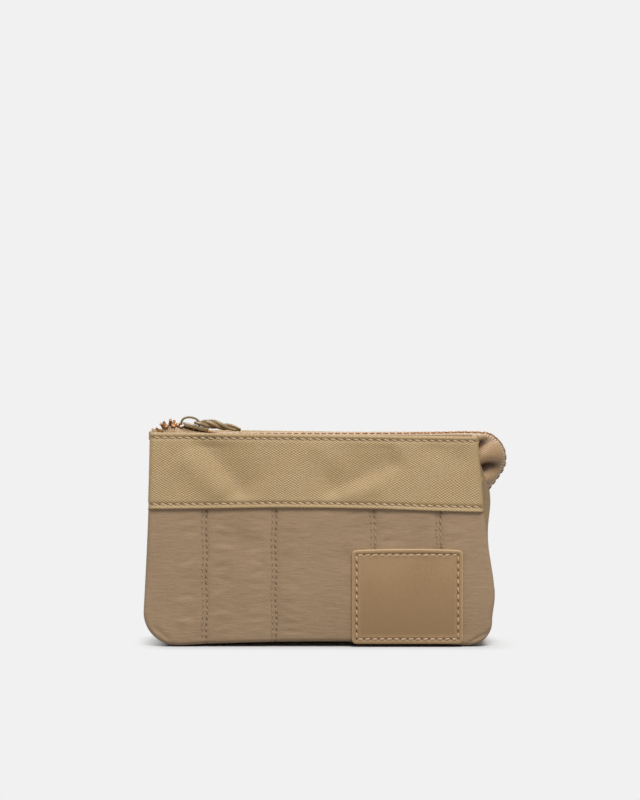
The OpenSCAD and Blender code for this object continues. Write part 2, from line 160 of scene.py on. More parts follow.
def edge_distance(x, v, side):
    """Distance from each point to the wall's outline, the mouth left out."""
    ring = outline(side)
    best = np.full(x.shape, 1e9)
    for p, q in zip(ring, np.roll(ring, -1, 0)):
        if abs(p[1] - wall_h) < 1e-6 and abs(q[1] - wall_h) < 1e-6:
            continue
        d = q - p
        t = unit(((x - p[0]) * d[0] + (v - p[1]) * d[1]) / max(d @ d, 1e-12))
        best = np.minimum(best, np.hypot(x - p[0] - t * d[0], v - p[1] - t * d[1]))
    return best


def turned_edge(d, r):
    """How far cloth that turns round an edge of radius r has dropped, at a distance d from it."""
    d = np.clip(d, 0, r)
    return r - np.sqrt(np.clip(r**2 - (r - d) ** 2, 0, None))


# ---------------------------------------------------------------- making pieces
def deselect():
    if bpy.context.object and bpy.context.object.mode != "OBJECT":
        bpy.ops.object.mode_set(mode="OBJECT")
    bpy.ops.object.select_all(action="DESELECT")


def take(piece):
    deselect()
    piece.select_set(True)
    bpy.context.view_layer.objects.active = piece


def put(thing, values):
    for k, value in values.items():
        setattr(thing, k, value)


def link(name, data):
    piece = bpy.data.objects.new(name, data)
    bpy.context.collection.objects.link(piece)
    return piece


def points(piece):
    co = np.empty(len(piece.data.vertices) * 3)
    piece.data.vertices.foreach_get("co", co)
    return co.reshape(-1, 3)


def set_points(piece, co):
    piece.data.vertices.foreach_set("co", np.ascontiguousarray(co, float).ravel())
    piece.data.update()


def cloth_grid(name, nu, nv):
    """A flat sheet of nu by nv faces, with how far across and up it each point lies, from 0 to 1."""
    deselect()
    bpy.ops.mesh.primitive_grid_add(x_subdivisions=nu, y_subdivisions=nv, size=2)
    piece = bpy.context.object
    piece.name = piece.data.name = name
    co = points(piece)
    return piece, (co[:, 0] + 1) / 2, (co[:, 1] + 1) / 2


def edited(piece, *steps, whole=True):
    """Takes a piece through steps in edit mode, with the whole of it selected at the start."""
    take(piece)
    bpy.ops.object.mode_set(mode="EDIT")
    if whole:
        bpy.ops.mesh.select_all(action="SELECT")
    for step, values in steps:
        step(**values)
    bpy.ops.object.mode_set(mode="OBJECT")


def face_out(piece, way):
    """Turns the sheet's faces to look along way."""
    total = Vector((0, 0, 0))
    for f in piece.data.polygons:
        total += f.normal * f.area
    if total.dot(Vector(way)) < 0:
        edited(piece, (bpy.ops.mesh.flip_normals, {}))


def finish_with(piece, kind, **values):
    take(piece)
    m = piece.modifiers.new(kind.lower(), kind)
    put(m, values)
    bpy.ops.object.modifier_apply(modifier=m.name)


def thicken(piece, mm, both_ways=False):
    """Gives a sheet its thickness: inwards once its doubled points are merged, or half each way."""
    if not both_ways:
        edited(piece, (bpy.ops.mesh.remove_doubles, {"threshold": 0.000001}))
    finish_with(piece, "SOLIDIFY", thickness=mm / 1000, offset=0 if both_ways else -1, use_rim=True)


def soften(piece, degrees):
    take(piece)
    bpy.ops.object.shade_smooth_by_angle(angle=math.radians(degrees))


def lay_map(piece, across, along):
    """A UV map in millimetres, so that a pattern follows the sewn rows."""
    layer = piece.data.uv_layers[0] if piece.data.uv_layers else piece.data.uv_layers.new(name="cloth")
    layer.name = "cloth"
    loops = np.empty(len(piece.data.loops), np.int32)
    piece.data.loops.foreach_get("vertex_index", loops)
    uv = np.stack([across[loops], along[loops]], 1)
    layer.uv.foreach_set("vector", uv.astype(np.float32).ravel())


def mark_rows(piece, along, off):
    """Where each point lies by its nearest sewn row: how far along it, and how far off it."""
    at = piece.data.attributes.new("row", "FLOAT_VECTOR", "POINT")
    values = np.stack([along, off, np.zeros(len(off))], 1)
    at.data.foreach_set("vector", values.astype(np.float32).ravel())


def open_with(piece, at=None):
    """Bakes the piece's transform into its points, and works out the x of each point in millimetres, or takes
    it from at.
    """
    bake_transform(piece)
    x = points(piece)[:, 0] * 1000 if at is None else np.asarray(at, float)


def as_sheet(piece, held, faces_across):
    """Reads a cloth grid's points, in rows of faces_across + 1."""
    p = points(piece).reshape(-1, faces_across + 1, 3)


def paint(piece, mat):
    piece.data.materials.clear()
    piece.data.materials.append(mat)


def tie(piece, mat, slot, body, *nodes, seat=None):
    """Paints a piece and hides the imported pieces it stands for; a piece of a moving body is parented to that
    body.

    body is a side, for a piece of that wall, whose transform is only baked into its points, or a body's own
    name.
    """
    paint(piece, mat)
    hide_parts(*nodes)
    if body in label:
        open_with(piece, seat)
    else:
        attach(piece, body)


def dress(piece, out, thick, mat, slot, body, *nodes, smooth=50, sheet=None, both_ways=False):
    face_out(piece, out)
    if sheet:
        as_sheet(piece, *sheet)
    thicken(piece, thick, both_ways)
    soften(piece, smooth)
    tie(piece, mat, slot, body, *nodes)


def join_all(parts, name):
    deselect()
    for p in parts:
        p.select_set(True)
    bpy.context.view_layer.objects.active = parts[0]
    bpy.ops.object.join()
    piece = bpy.context.object
    piece.name = piece.data.name = name
    return piece


def repeat(pattern, places, name):
    """Copies of a small modelled piece, joined as one sewn or crimped row, and the x that each is at."""
    made = []
    for place in places:
        c = link(name, pattern.data.copy())
        c.data.transform(place)
        at = c.data.attributes.new("seat_x", "FLOAT", "POINT")
        at.data.foreach_set("value", np.full(len(c.data.vertices), place.translation.x * 1000, np.float32))
        made.append(c)
    bpy.data.objects.remove(pattern)
    piece = join_all(made, name)
    seat = np.empty(len(piece.data.vertices), np.float32)
    piece.data.attributes["seat_x"].data.foreach_get("value", seat)
    piece.data.attributes.remove(piece.data.attributes["seat_x"])
    return piece, seat


# ---------------------------------------------------------------- material parts
def rgb(hexa):
    """A hex colour as linear numbers."""
    parts = [int(hexa[i : i + 2], 16) / 255 for i in (0, 2, 4)]
    return (*[c / 12.92 if c <= 0.04045 else ((c + 0.055) / 1.055) ** 2.4 for c in parts], 1.0)


def grey(k):
    return (k, k, k, 1)


class Wiring:
    """Short ways to add and join the nodes of a material or a group. A colour can be given in hex."""

    def __init__(self, tree):
        self.tree = tree

    def add(self, kind, sockets=None, **values):
        """A node with its settings, and with numbers, colours or other nodes' outputs in its sockets."""
        node = self.tree.nodes.new(kind)
        put(node, values)
        for k, value in (sockets or {}).items():
            self.feed(node.inputs[k], value)
        return node

    def feed(self, socket, value):
        if isinstance(value, str):
            value = rgb(value)
        if isinstance(value, (int, float, tuple)):
            socket.default_value = value
        else:
            self.tree.links.new(value, socket)

    def math(self, kind, *values, clamp=False):
        node = self.add("ShaderNodeMath", dict(enumerate(values)), operation=kind, use_clamp=clamp)
        return node.outputs[0]

    def plus(self, a, b):
        return self.math("ADD", a, b)

    def minus(self, a, b, clamp=False):
        return self.math("SUBTRACT", a, b, clamp=clamp)

    def times(self, a, b, clamp=False):
        return self.math("MULTIPLY", a, b, clamp=clamp)

    def wave(self, x, length):
        return self.math("SINE", self.times(x, 2 * math.pi / length))

    def split(self, vector):
        return self.add("ShaderNodeSeparateXYZ", {0: vector}).outputs

    def cloth_map(self):
        """How far across and along the cloth a place lies, in millimetres."""
        return self.split(self.add("ShaderNodeUVMap", uv_map="cloth").outputs["UV"])

    def row_marks(self):
        """How far along its nearest sewn row a place lies, and how far off it, in millimetres."""
        return self.split(self.add("ShaderNodeAttribute", attribute_name="row").outputs["Vector"])

    def mapped(self, vector, scale):
        scale = scale if isinstance(scale, tuple) else (scale, scale, scale)
        return self.add("ShaderNodeMapping", {"Vector": vector, "Scale": scale}).outputs["Vector"]

    def noise(self, vector, scale, detail=3.0, rough=0.55):
        sockets = {"Vector": self.mapped(vector, scale), "Scale": 1.0, "Detail": detail, "Roughness": rough}
        return self.add("ShaderNodeTexNoise", sockets).outputs["Fac"]

    def spread(self, value, low, high, to_low=0.0, to_high=1.0):
        """Takes the range from low to high over to another one, and holds what lies outside it."""
        sockets = {"Value": value, "From Min": low, "From Max": high, "To Min": to_low, "To Max": to_high}
        return self.add("ShaderNodeMapRange", sockets).outputs["Result"]

    def blend(self, share, a, b):
        return self.add("ShaderNodeMix", {0: share, 6: a, 7: b}, data_type="RGBA").outputs[2]

    def use(self, group, **sockets):
        return self.add("ShaderNodeGroup", sockets, node_tree=group).outputs

    def bump(self, height, distance, strength=1.0, under=None):
        sockets = {"Strength": strength, "Distance": distance, "Height": height}
        if under is not None:
            sockets["Normal"] = under
        return self.add("ShaderNodeBump", sockets).outputs["Normal"]

    def cover(self, **sockets):
        """Sets sockets of the material's own surface: Color, Normal and Roughness."""
        skin = self.tree.nodes["Principled BSDF"]
        for k, value in sockets.items():
            self.feed(skin.inputs["Base Color" if k == "Color" else k], value)


def new_group(name, ins, *outs):
    """A node group's wiring and its ends. ins has each input's first value, None for a vector."""
    group = bpy.data.node_groups.new(name, "ShaderNodeTree")
    for socket, value in ins.items():
        kind = "Vector" if value is None else "Color" if isinstance(value, tuple) else "Float"
        made = group.interface.new_socket(name=socket, in_out="INPUT", socket_type="NodeSocket" + kind)
        if value is not None:
            made.default_value = value
    for socket in outs:
        kind = "Color" if socket == "Color" else "Float"
        group.interface.new_socket(name=socket, in_out="OUTPUT", socket_type="NodeSocket" + kind)
    w = Wiring(group)
    return w, w.add("NodeGroupInput").outputs, w.add("NodeGroupOutput").inputs


def make_twill():
    """Fine slanted ribs crossed by fainter ones, as on coated twill. Vector is in millimetres."""
    w, given, out = new_group("slanted_ribs", {"Vector": None, "Pitch": 0.75, "Cross": 0.5}, "Height")
    x, _, z = w.split(given["Vector"])
    shake = w.times(w.minus(w.noise(given["Vector"], 0.12, 1.0), 0.5), 1.1)
    rate = w.math("DIVIDE", 2 * math.pi, given["Pitch"])
    waves = []
    for kx, kz in ((0.555, 0.832), (-0.49, 0.87)):
        run = w.plus(w.plus(w.times(x, kx), w.times(z, kz)), shake)
        waves.append(w.math("SINE", w.times(run, rate)))
    w.feed(out["Height"], w.plus(waves[0], w.times(waves[1], given["Cross"])))
    return w.tree


def make_weave():
    """A plain weave of crossing threads. Vector is in millimetres."""
    w, given, out = new_group("plain_weave", {"Vector": None, "Pitch": 0.3}, "Height")
    x, y, z = w.split(given["Vector"])
    rate = w.math("DIVIDE", math.pi, given["Pitch"])
    a = w.math("SINE", w.times(w.plus(x, w.times(y, 0.92)), rate))
    b = w.math("SINE", w.times(z, rate))
    w.feed(out["Height"], w.times(a, b))
    return w.tree


def make_mottle():
    """The uneven depth of colour in dyed cloth and leather. Vector is in millimetres."""
    ins = {"Vector": None, "Color": grey(0.5), "Dark": grey(0.4), "Amount": 0.5}
    w, given, out = new_group("dye_mottle", ins, "Color", "Mask")
    broad = w.noise(given["Vector"], 0.05, 2.0)
    fine = w.noise(given["Vector"], 0.9, 4.0, 0.7)
    mix = w.plus(w.times(broad, 0.55), w.times(fine, 0.45))
    mask = w.times(w.spread(mix, 0.38, 0.62), given["Amount"], clamp=True)
    w.feed(out["Color"], w.blend(mask, given["Color"], given["Dark"]))
    w.feed(out["Mask"], mask)
    return w.tree


def make_needle_hole_shade():
    """Painted shade in the needle holes along a sewn row. Along and Off are in millimetres."""
    ins = {"Along": 0.0, "Off": 0.0, "Pitch": 2.7, "Radius": 0.35, "Slant": 0.7}
    w, given, out = new_group("needle_hole_shade", ins, "Mask")
    turn = w.math("DIVIDE", given["Along"], given["Pitch"])
    apart = w.times(w.minus(w.math("FRACT", w.plus(turn, 0.5)), 0.5), given["Pitch"])
    leant = w.plus(given["Off"], w.times(apart, given["Slant"]))
    long_way = w.math("POWER", w.times(apart, 0.7), 2.0)
    far = w.math("SQRT", w.plus(long_way, w.math("POWER", w.times(leant, 1.5), 2.0)))
    depth = w.minus(1.0, w.math("DIVIDE", far, given["Radius"]), clamp=True)
    w.feed(out["Mask"], w.times(depth, 1.6, clamp=True))
    return w.tree


twill, weave, mottle, needle_hole_shade = make_twill(), make_weave(), make_mottle(), make_needle_hole_shade()


def shade(name, rough, metallic=0.0, sheen=0.0, coat=0.0, specular=0.5):
    """A material, its wiring, and a vector in millimetres."""
    mat = bpy.data.materials.new(name)
    mat.use_nodes = True
    w = Wiring(mat.node_tree)
    w.cover(Roughness=rough, Metallic=metallic)
    w.cover(**{"Sheen Weight": sheen, "Sheen Roughness": 0.45, "Specular IOR Level": specular})
    w.cover(**{"Coat Weight": coat, "Coat Roughness": 0.35})
    return mat, w, w.mapped(w.add("ShaderNodeTexCoord").outputs["Object"], 1000)


def dye(w, mm, color, dark, amount):
    return w.use(mottle, Vector=mm, Color=color, Dark=dark, Amount=amount)["Color"]


# ---------------------------------------------------------------- finishes
def hole_shade_mask(w, off_row, radius, pitch):
    """Painted shade in the needle holes along a sewn row, or along a pair of them that lie off_row to each
    side.
    """
    along, off, _ = w.row_marks()
    if off_row:
        off = w.minus(w.math("ABSOLUTE", off), off_row)
    return w.use(needle_hole_shade, Along=along, Off=off, Radius=radius, Pitch=pitch)["Mask"]


def groove_painted_shade(w, color, off_row, wide, amount, dark):
    """Paints shade into the groove of a sewn row, darkening the cloth there."""
    off = w.math("ABSOLUTE", w.minus(w.math("ABSOLUTE", w.row_marks()[1]), off_row))
    mask = w.math("POWER", w.minus(1.0, w.math("DIVIDE", off, wide * 2), clamp=True), 1.5)
    return w.blend(w.times(mask, amount), color, dark)


def make_nylon():
    """Crinkled nylon: a fine weave, faintly streaked along its length, with small creases."""
    mat, w, mm = shade("quilted_nylon", 0.6, sheen=0.1, specular=0.35)
    streak = w.noise(mm, (0.22, 0.22, 2.1), 4.0, 0.7)
    crinkle = w.noise(mm, (0.2, 0.2, 0.75), 4.0)
    threads = w.use(weave, Vector=mm, Pitch=0.27)["Height"]
    dyed = dye(w, mm, "937A5F", "846C52", 0.8)
    color = w.blend(w.spread(streak, 0.35, 0.7, 0.0, 0.55), dyed, "A38A6D")
    color = w.blend(w.spread(threads, -1, 1, 0.0, 0.22), color, "745D44")
    # Painted shade in the grooves of the quilting rows.
    color = groove_painted_shade(w, color, quilt_pair / 2, 0.35, 0.12, "5F4A33")
    # Painted shade in the needle holes of the quilting rows.
    holes = hole_shade_mask(w, quilt_pair / 2, 0.42, quilt_pitch)
    # The right one of a pair of rows is pulled tighter into a deeper groove, so the shade painted in its holes
    # is darker.
    tighter = w.spread(w.row_marks()[1], -0.4, 0.4, 0.12, 0.95)
    color = w.blend(w.times(holes, tighter), color, "3E3020")
    streaked = w.bump(streak, 0.00022, 0.35, w.bump(threads, 0.000025, 0.6))
    normal = w.bump(crinkle, 0.0006, 0.3, streaked)
    w.cover(Color=color, Normal=normal, Roughness=w.spread(streak, 0.3, 0.7, 0.52, 0.68))
    return mat


def make_coated_band():
    """Coated twill: hard fine ribs under a slightly glossy coat."""
    mat, w, mm = shade("coated_twill", 0.46, coat=0.04, specular=0.42)
    across, along, _ = w.cloth_map()
    laid = w.add("ShaderNodeCombineXYZ", {0: across, 2: along}).outputs[0]
    ribs = w.use(twill, Vector=laid, Pitch=0.73, Cross=0.95)["Height"]
    # Painted shade in the valleys between the ribs.
    low = w.times(w.spread(ribs, -1.2, 1.0, 1.0, 0.0), 0.8)
    color = w.blend(low, dye(w, mm, "B69B71", "A98E65", 0.7), "836B43")
    # Painted shade in the grooves of the sewn rows.
    color = groove_painted_shade(w, color, 0, 0.5, 0.5, "6B5636")
    # Painted shade in the needle holes.
    color = w.blend(w.times(hole_shade_mask(w, 0, 0.44, band_pitch), 0.95), color, "43331F")
    soft = w.bump(w.noise(mm, 0.5), 0.0002, 0.35)
    normal = w.bump(ribs, 0.00004, 1.0, soft)
    w.cover(Color=color, Normal=normal, Roughness=w.spread(ribs, -1.5, 1.5, 0.56, 0.4))
    return mat


def make_patch_leather():
    """Smooth leather with a fine grain, a painted highlight along its edge, and a pressed middle painted
    darker towards its foot as shade.
    """
    mat, w, mm = shade("patch_leather", 0.5, coat=0.06, specular=0.4)
    cells = {"Vector": w.mapped(mm, 1.9), "Scale": 1.0}
    grain = w.add("ShaderNodeTexVoronoi", cells, feature="DISTANCE_TO_EDGE").outputs["Distance"]
    off = w.row_marks()[1]
    pressed = w.spread(off, 0.7, 1.6)
    # Painted shade: the pressed middle grows darker towards the patch's foot.
    shade_toward_foot = w.spread(w.split(mm)[2], 32, 6)
    color = w.blend(w.times(pressed, shade_toward_foot), dye(w, mm, "9B7E5A", "8C6F4C", 0.8), "866A48")
    # Painted highlight along the patch's edge.
    color = w.blend(w.spread(off, -1.7, -1.25, 0.5, 0.0), color, "D2B58C")
    # Painted shade in the groove of the sewn row.
    color = groove_painted_shade(w, color, 0, 0.45, 0.45, "5E4529")
    # Painted shade in the needle holes.
    color = w.blend(w.times(hole_shade_mask(w, 0, 0.46, band_pitch), 0.95), color, "3D2C1A")
    soft = w.bump(w.noise(mm, 0.35), 0.0002, 0.3)
    normal = w.bump(w.spread(grain, 0.0, 0.16), 0.00006, 0.35, soft)
    w.cover(Color=color, Normal=normal, Roughness=w.spread(pressed, 0, 1, 0.56, 0.44))
    return mat


def make_thread(name, light, dark):
    mat, w, mm = shade(name, 0.55, sheen=0.15, specular=0.35)
    hair = w.noise(mm, 3)
    w.cover(Color=w.blend(w.spread(hair, 0.35, 0.65), light, dark), Normal=w.bump(hair, 0.00006, 0.5))
    return mat


def make_satin_tape():
    """Satin zip tape: slanted ribs with painted shade between them, painted shade in the valleys of its folds,
    and light and dark ticks beside the teeth.
    """
    mat, w, mm = shade("satin_tape", 0.45, specular=0.3)
    along, over, _ = w.cloth_map()
    ribs = w.wave(w.plus(w.times(along, 0.5), w.times(over, 0.6)), 0.62)
    knit = w.times(ribs, w.plus(1.0, w.times(w.wave(along, 0.7), 0.5)))
    dyed = dye(w, mm, "B79873", "9C7C58", 0.7)
    # Painted shade in the valleys between the ribs.
    color = w.blend(w.spread(knit, -1.0, 1.0, 0.68, 0.0), dyed, "6A5034")
    # Painted shade in the valleys of the tape's folds, by their depth.
    color = w.blend(w.spread(w.row_marks()[1], -1.5, 0.1, 0.93, 0.0), color, "38200D")
    beside = w.times(w.spread(over, 1.0, 1.6), w.spread(over, 4.6, 5.6, 1.0, 0.0))
    tick = w.wave(along, 1.05)
    color = w.blend(w.times(beside, w.spread(tick, -0.2, 0.7, 0.0, 0.4)), color, "D6C3A4")
    color = w.blend(w.times(beside, w.spread(tick, -0.9, -0.1, 0.55, 0.0)), color, "4A3521")
    rough = w.spread(knit, -1.5, 1.5, 0.5, 0.36)
    w.cover(Color=color, Normal=w.bump(knit, 0.00005, 0.6), Roughness=rough)
    return mat


def make_metal(name, color, dark, rough, metallic, coat, worn):
    """Plated or painted metal, scuffed on its raised places."""
    mat, w, mm = shade(name, rough, metallic=metallic, coat=coat)
    dyed = w.use(mottle, Vector=w.mapped(mm, 2.5), Color=color, Dark=dark, Amount=0.9)
    raised = w.spread(w.add("ShaderNodeNewGeometry").outputs["Pointiness"], 0.51, 0.58)
    scuffs = w.times(raised, w.spread(w.noise(mm, 1.5), 0.4, 0.7), clamp=True)
    w.cover(
        Color=w.blend(w.times(scuffs, 0.6), dyed["Color"], worn),
        Normal=w.bump(w.noise(mm, 4, 2.0), 0.00002, 0.4),
        Roughness=w.spread(dyed["Mask"], 0, 1, rough, rough + 0.14),
    )
    return mat


def make_lining_cloth():
    mat, w, mm = shade("lining_cloth", 0.7, sheen=0.1, specular=0.25)
    threads = w.use(weave, Vector=mm, Pitch=0.36)["Height"]
    color = w.blend(w.spread(threads, -1, 1, 0.0, 0.35), dye(w, mm, "8E7A5D", "7B684D", 0.7), "6A583F")
    soft = w.bump(w.noise(mm, 0.22), 0.0003, 0.4)
    w.cover(Color=color, Normal=w.bump(threads, 0.00004, 0.6, soft))
    return mat


nylon = make_nylon()
coated_band = make_coated_band()
patch_leather = make_patch_leather()
thread = make_thread("sewing_thread", "C4A886", "A08463")
quilt_thread = make_thread("quilting_thread", "A68D70", "8B7358")
satin_tape = make_satin_tape()
copper = make_metal("copper_zip", "946842", "644228", 0.42, 0.9, 0.0, "C0966A")
painted = make_metal("painted_slider", "8B7653", "655337", 0.36, 0.25, 0.15, "A8966F")
lining_cloth = make_lining_cloth()


# ---------------------------------------------------------------- shape of each layer
def near_line(x, v, a, b, fade):
    """How far each point lies off the line from a to b, and a share that fades past the line's ends."""
    a, b = np.array(a, float), np.array(b, float)
    length = np.hypot(*(b - a))
    way = (b - a) / length
    along = (x - a[0]) * way[0] + (v - a[1]) * way[1]
    ends = unit(along / fade + 0.5) * unit((length - along) / fade + 0.5)
    return (x - a[0]) * way[1] - (v - a[1]) * way[0], np.sin(np.pi / 2 * ends) ** 2


def ridge(x, v, a, b, wide):
    """A soft fold along the line from a to b: 1 on it, 0 well away from it."""
    off, share = near_line(x, v, a, b, 6)
    return bell(off, wide) * share


def crease(x, v, a, b, steep, gentle):
    """A pulled crease along the line from a to b: steep on one side of it, fading slowly on the other."""
    off, share = near_line(x, v, a, b, 8)
    return np.where(off > 0, bell(off, steep), 1 / np.cosh(off / gentle)) * share


def row_groove(off, deep, wide):
    return deep * bell(off, wide)


def quilt_here(x, v, side):
    """The nearest quilting seam's distance, and whether it is sewn at that height."""
    seams = np.array(quilt_seams) - quilt_pair / 2
    off = np.asarray(x)[..., None] - seams
    near = np.argmin(np.abs(off), -1)
    off = np.take_along_axis(off, near[..., None], -1)[..., 0]
    foot_v = np.where((near >= 2) & (side == FRONT), patch_hi[1], 0.0)
    sewn = unit((np.asarray(v) - foot_v + 1.5) / 1.5)
    return off + 0.22 * np.sin(np.asarray(v) * 0.33 + near * 2.1), sewn


def shell_height(x, v, side):
    off, sewn = quilt_here(x, v, side)
    tighter = np.where(off > 0, 0.42, 0.12)
    pair = row_groove(np.abs(off) - quilt_pair / 2, tighter, 0.4) + row_groove(off - 0.4, 0.3, 1.8)
    return shell_out + crown(x, v) - sewn * pair


# The folds of each band: height, the ends of the line it follows, how steep it is, and for a crease
# how gently its other side falls.
band_folds = {
    FRONT: [
        (-1.7, (-46.5, 76), (-28.5, 54), 3.6, 5.0),
        (0.7, (-52, 68), (-37, 54), 4.5, None),
        (-1.5, (0, 55.5), (26, 67), 3.4, 5.0),
        (0.5, (6, 53), (20, 58), 4.0, None),
        (0.5, (-6, 74), (10, 60), 5.0, None),
        (-0.5, (36, 73), (50, 66), 5.0, None),
    ],
    BACK: [
        (-1.5, (26, 54), (42, 74), 3.6, 5.0),
        (0.6, (30, 73), (14, 56), 4.5, None),
        (-1.2, (-24, 67), (-2, 56), 3.4, 5.0),
        (-0.6, (-48, 58), (-38, 71), 4.5, None),
    ],
}


def band_height(x, v, side):
    top, low = band_rows
    grooves = row_groove(v - top, 0.5, 0.6) + row_groove(v - low, 0.45, 0.6)
    grooves = grooves - 0.3 * bell(v - band_foot - 0.6, 0.7)
    folds = 0
    for height, a, b, steep, gentle in band_folds[side]:
        fold = crease(x, v, a, b, steep, gentle) if gentle else ridge(x, v, a, b, steep)
        folds = folds + height * fold
    calm = np.clip((v - band_foot) / 5, 0.15, 1) * np.clip((wall_h - v) / 5, 0.1, 1)
    return band_out + crown(x, v) + folds * calm - grooves


def arched(x, v):
    """Lifts the foot of a wall a little between its corners."""
    return v + foot_arch(x) * unit(1 - v / 24) ** 1.5


# ---------------------------------------------------------------- cloth at rest in the quilted channels
def puckers(x, v, side):
    """The small folds that a tight seam pulls into the cloth beside it, and the slow swell between them."""
    rng = np.random.default_rng(11 + side)
    out = np.zeros(len(x))
    for n, seam in enumerate(quilt_seams):
        foot_v = patch_hi[1] + 1.5 if side == FRONT and n >= 2 else 3.0
        for way in (-1, 1):
            at = foot_v + rng.uniform(0, 2)
            while at < band_foot:
                reach, tilt = rng.uniform(4, 9), rng.normal(0, 1.0)
                start = seam + (0.6 if way > 0 else -quilt_pair - 0.6)
                a, b = (start + way * 2.5, at), (start + way * reach, at + tilt)
                fold = ridge(x, v, a, b, rng.uniform(0.7, 1.1))
                out += rng.choice([-1, 1]) * rng.uniform(0.1, 0.24) * fold
                at += rng.uniform(1.8, 3.6)
    for _ in range(26):
        a = np.array([rng.uniform(x_left, x_right), rng.uniform(2, band_foot)])
        b = a + rng.normal(0, 1, 2) * np.array([9, 5])
        out += rng.normal(0, 0.22) * ridge(x, v, a, b, rng.uniform(2.5, 5))
    return out


def puff(piece, x, v, held):
    """Fills the channels of a quilted cloth by simulation, and returns how each point moved, in mm."""
    rng = np.random.default_rng(4)
    flat = np.stack([x, v, np.where(held, 0, rng.normal(0, 0.04, len(x)))], 1) / 100
    set_points(piece, flat)
    pins = piece.vertex_groups.new(name="sewn")
    pins.add(np.flatnonzero(held).tolist(), 1.0, "REPLACE")
    cloth = piece.modifiers.new("cloth", "CLOTH")
    stiff = {"tension_stiffness": 12, "compression_stiffness": 12, "shear_stiffness": 6}
    damped = {"tension_damping": 5, "compression_damping": 5, "shear_damping": 5}
    filled = {"use_pressure": True, "uniform_pressure_force": 0.5, "shrink_min": -0.05}
    rest = {"quality": 6, "mass": 0.15, "bending_stiffness": 0.05, "vertex_group_mass": "sewn"}
    put(cloth.settings, {**stiff, **damped, **filled, **rest})
    cloth.settings.effector_weights.gravity = 0
    cloth.collision_settings.use_collision = False
    cloth.point_cache.frame_end = 26
    for step in range(1, 23):
        bpy.context.scene.frame_set(step)
    moved = piece.evaluated_get(bpy.context.evaluated_depsgraph_get()).to_mesh()
    now = np.empty(len(x) * 3)
    moved.vertices.foreach_get("co", now)
    bpy.context.scene.frame_set(1)
    piece.modifiers.remove(cloth)
    piece.vertex_groups.remove(pins)
    return (now.reshape(-1, 3) - flat) * 100


# ---------------------------------------------------------------- walls
turn_steps = np.radians([0, 20, 40, 58, 74, 90])


def cloth_stations(length, r, step):
    """Places along a cloth, closer together where it turns over at each end."""
    turn = r * (1 - np.cos(turn_steps))
    middle = np.linspace(r, length - r, int((length - 2 * r) / step) + 1)
    return np.concatenate([[0], turn[:-1], middle, (length - turn[:-1])[::-1], [length]])


def wall_cloth(name, across, up):
    """A sheet with a point for each pair of stations, and the station that each point has."""
    piece, a, b = cloth_grid(name, len(across) - 1, len(up) - 1)
    i = np.rint(a * (len(across) - 1)).astype(int)
    k = np.rint(b * (len(up) - 1)).astype(int)
    return piece, across[i], up[k], i, k


def make_shell(side):
    """A quilted wall, its edges turned in and its foot drawn up a little between the corners."""
    across = cloth_stations(127.0, shell_turn, 0.62) / 127.0
    rise = np.linspace(shell_turn, band_foot + 2.6, 80)
    up = np.concatenate([[0], shell_turn * (1 - np.cos(turn_steps[:-1])), rise])
    piece, s, v, i, k = wall_cloth(f"{label[side]}_shell", across, up)
    x = left_edge(v) + s * (right_edge(v, side) - left_edge(v))
    skirt = (i == 0) | (i == len(across) - 1) | (k == 0)
    d = edge_distance(x, v, side)
    off, sewn = quilt_here(x, v, side)
    held = (d < 2.2) | (v > band_foot - 0.2) | ((np.abs(off) < quilt_pair / 2 + 0.25) & (sewn > 0.9))
    if side == FRONT:
        held |= (x > patch_lo[0]) & (x < patch_hi[0]) & (v < patch_hi[1])
    shift = puff(piece, x, v, held)
    away = unit(d / 4)
    loose = unit(np.abs(off) - quilt_pair / 2) * away
    w = shell_height(x, v, side) + shift[:, 2] * away + puckers(x, v, side) * loose
    w -= turned_edge(d, shell_turn) + np.where(skirt, shell_skirt, 0)
    w -= 0.55 * ridge(x, v, (52, 1.2), (59.6, 5.2), 0.6) + 0.3 * ridge(x, v, (-62.5, 7.0), (-56, 1.6), 0.8)
    set_points(piece, wall_point(x + shift[:, 0] * away, arched(x, v) + shift[:, 1] * away, w, side))
    lay_map(piece, x, v)
    mark_rows(piece, (v - quilt_low) * quilt_pitch / quilt_step(quilt_low), off)
    nodes = f"{label[side]}_panel", f"{label[side]}_padding"
    dress(piece, (0, side, 0), shell_t, nylon, "nylon", side, *nodes, smooth=60)


def quilt_step(foot_v):
    """The length of one stitch of a quilting row that starts at foot_v."""
    return (quilt_top - foot_v) / math.floor((quilt_top - foot_v) / quilt_pitch)


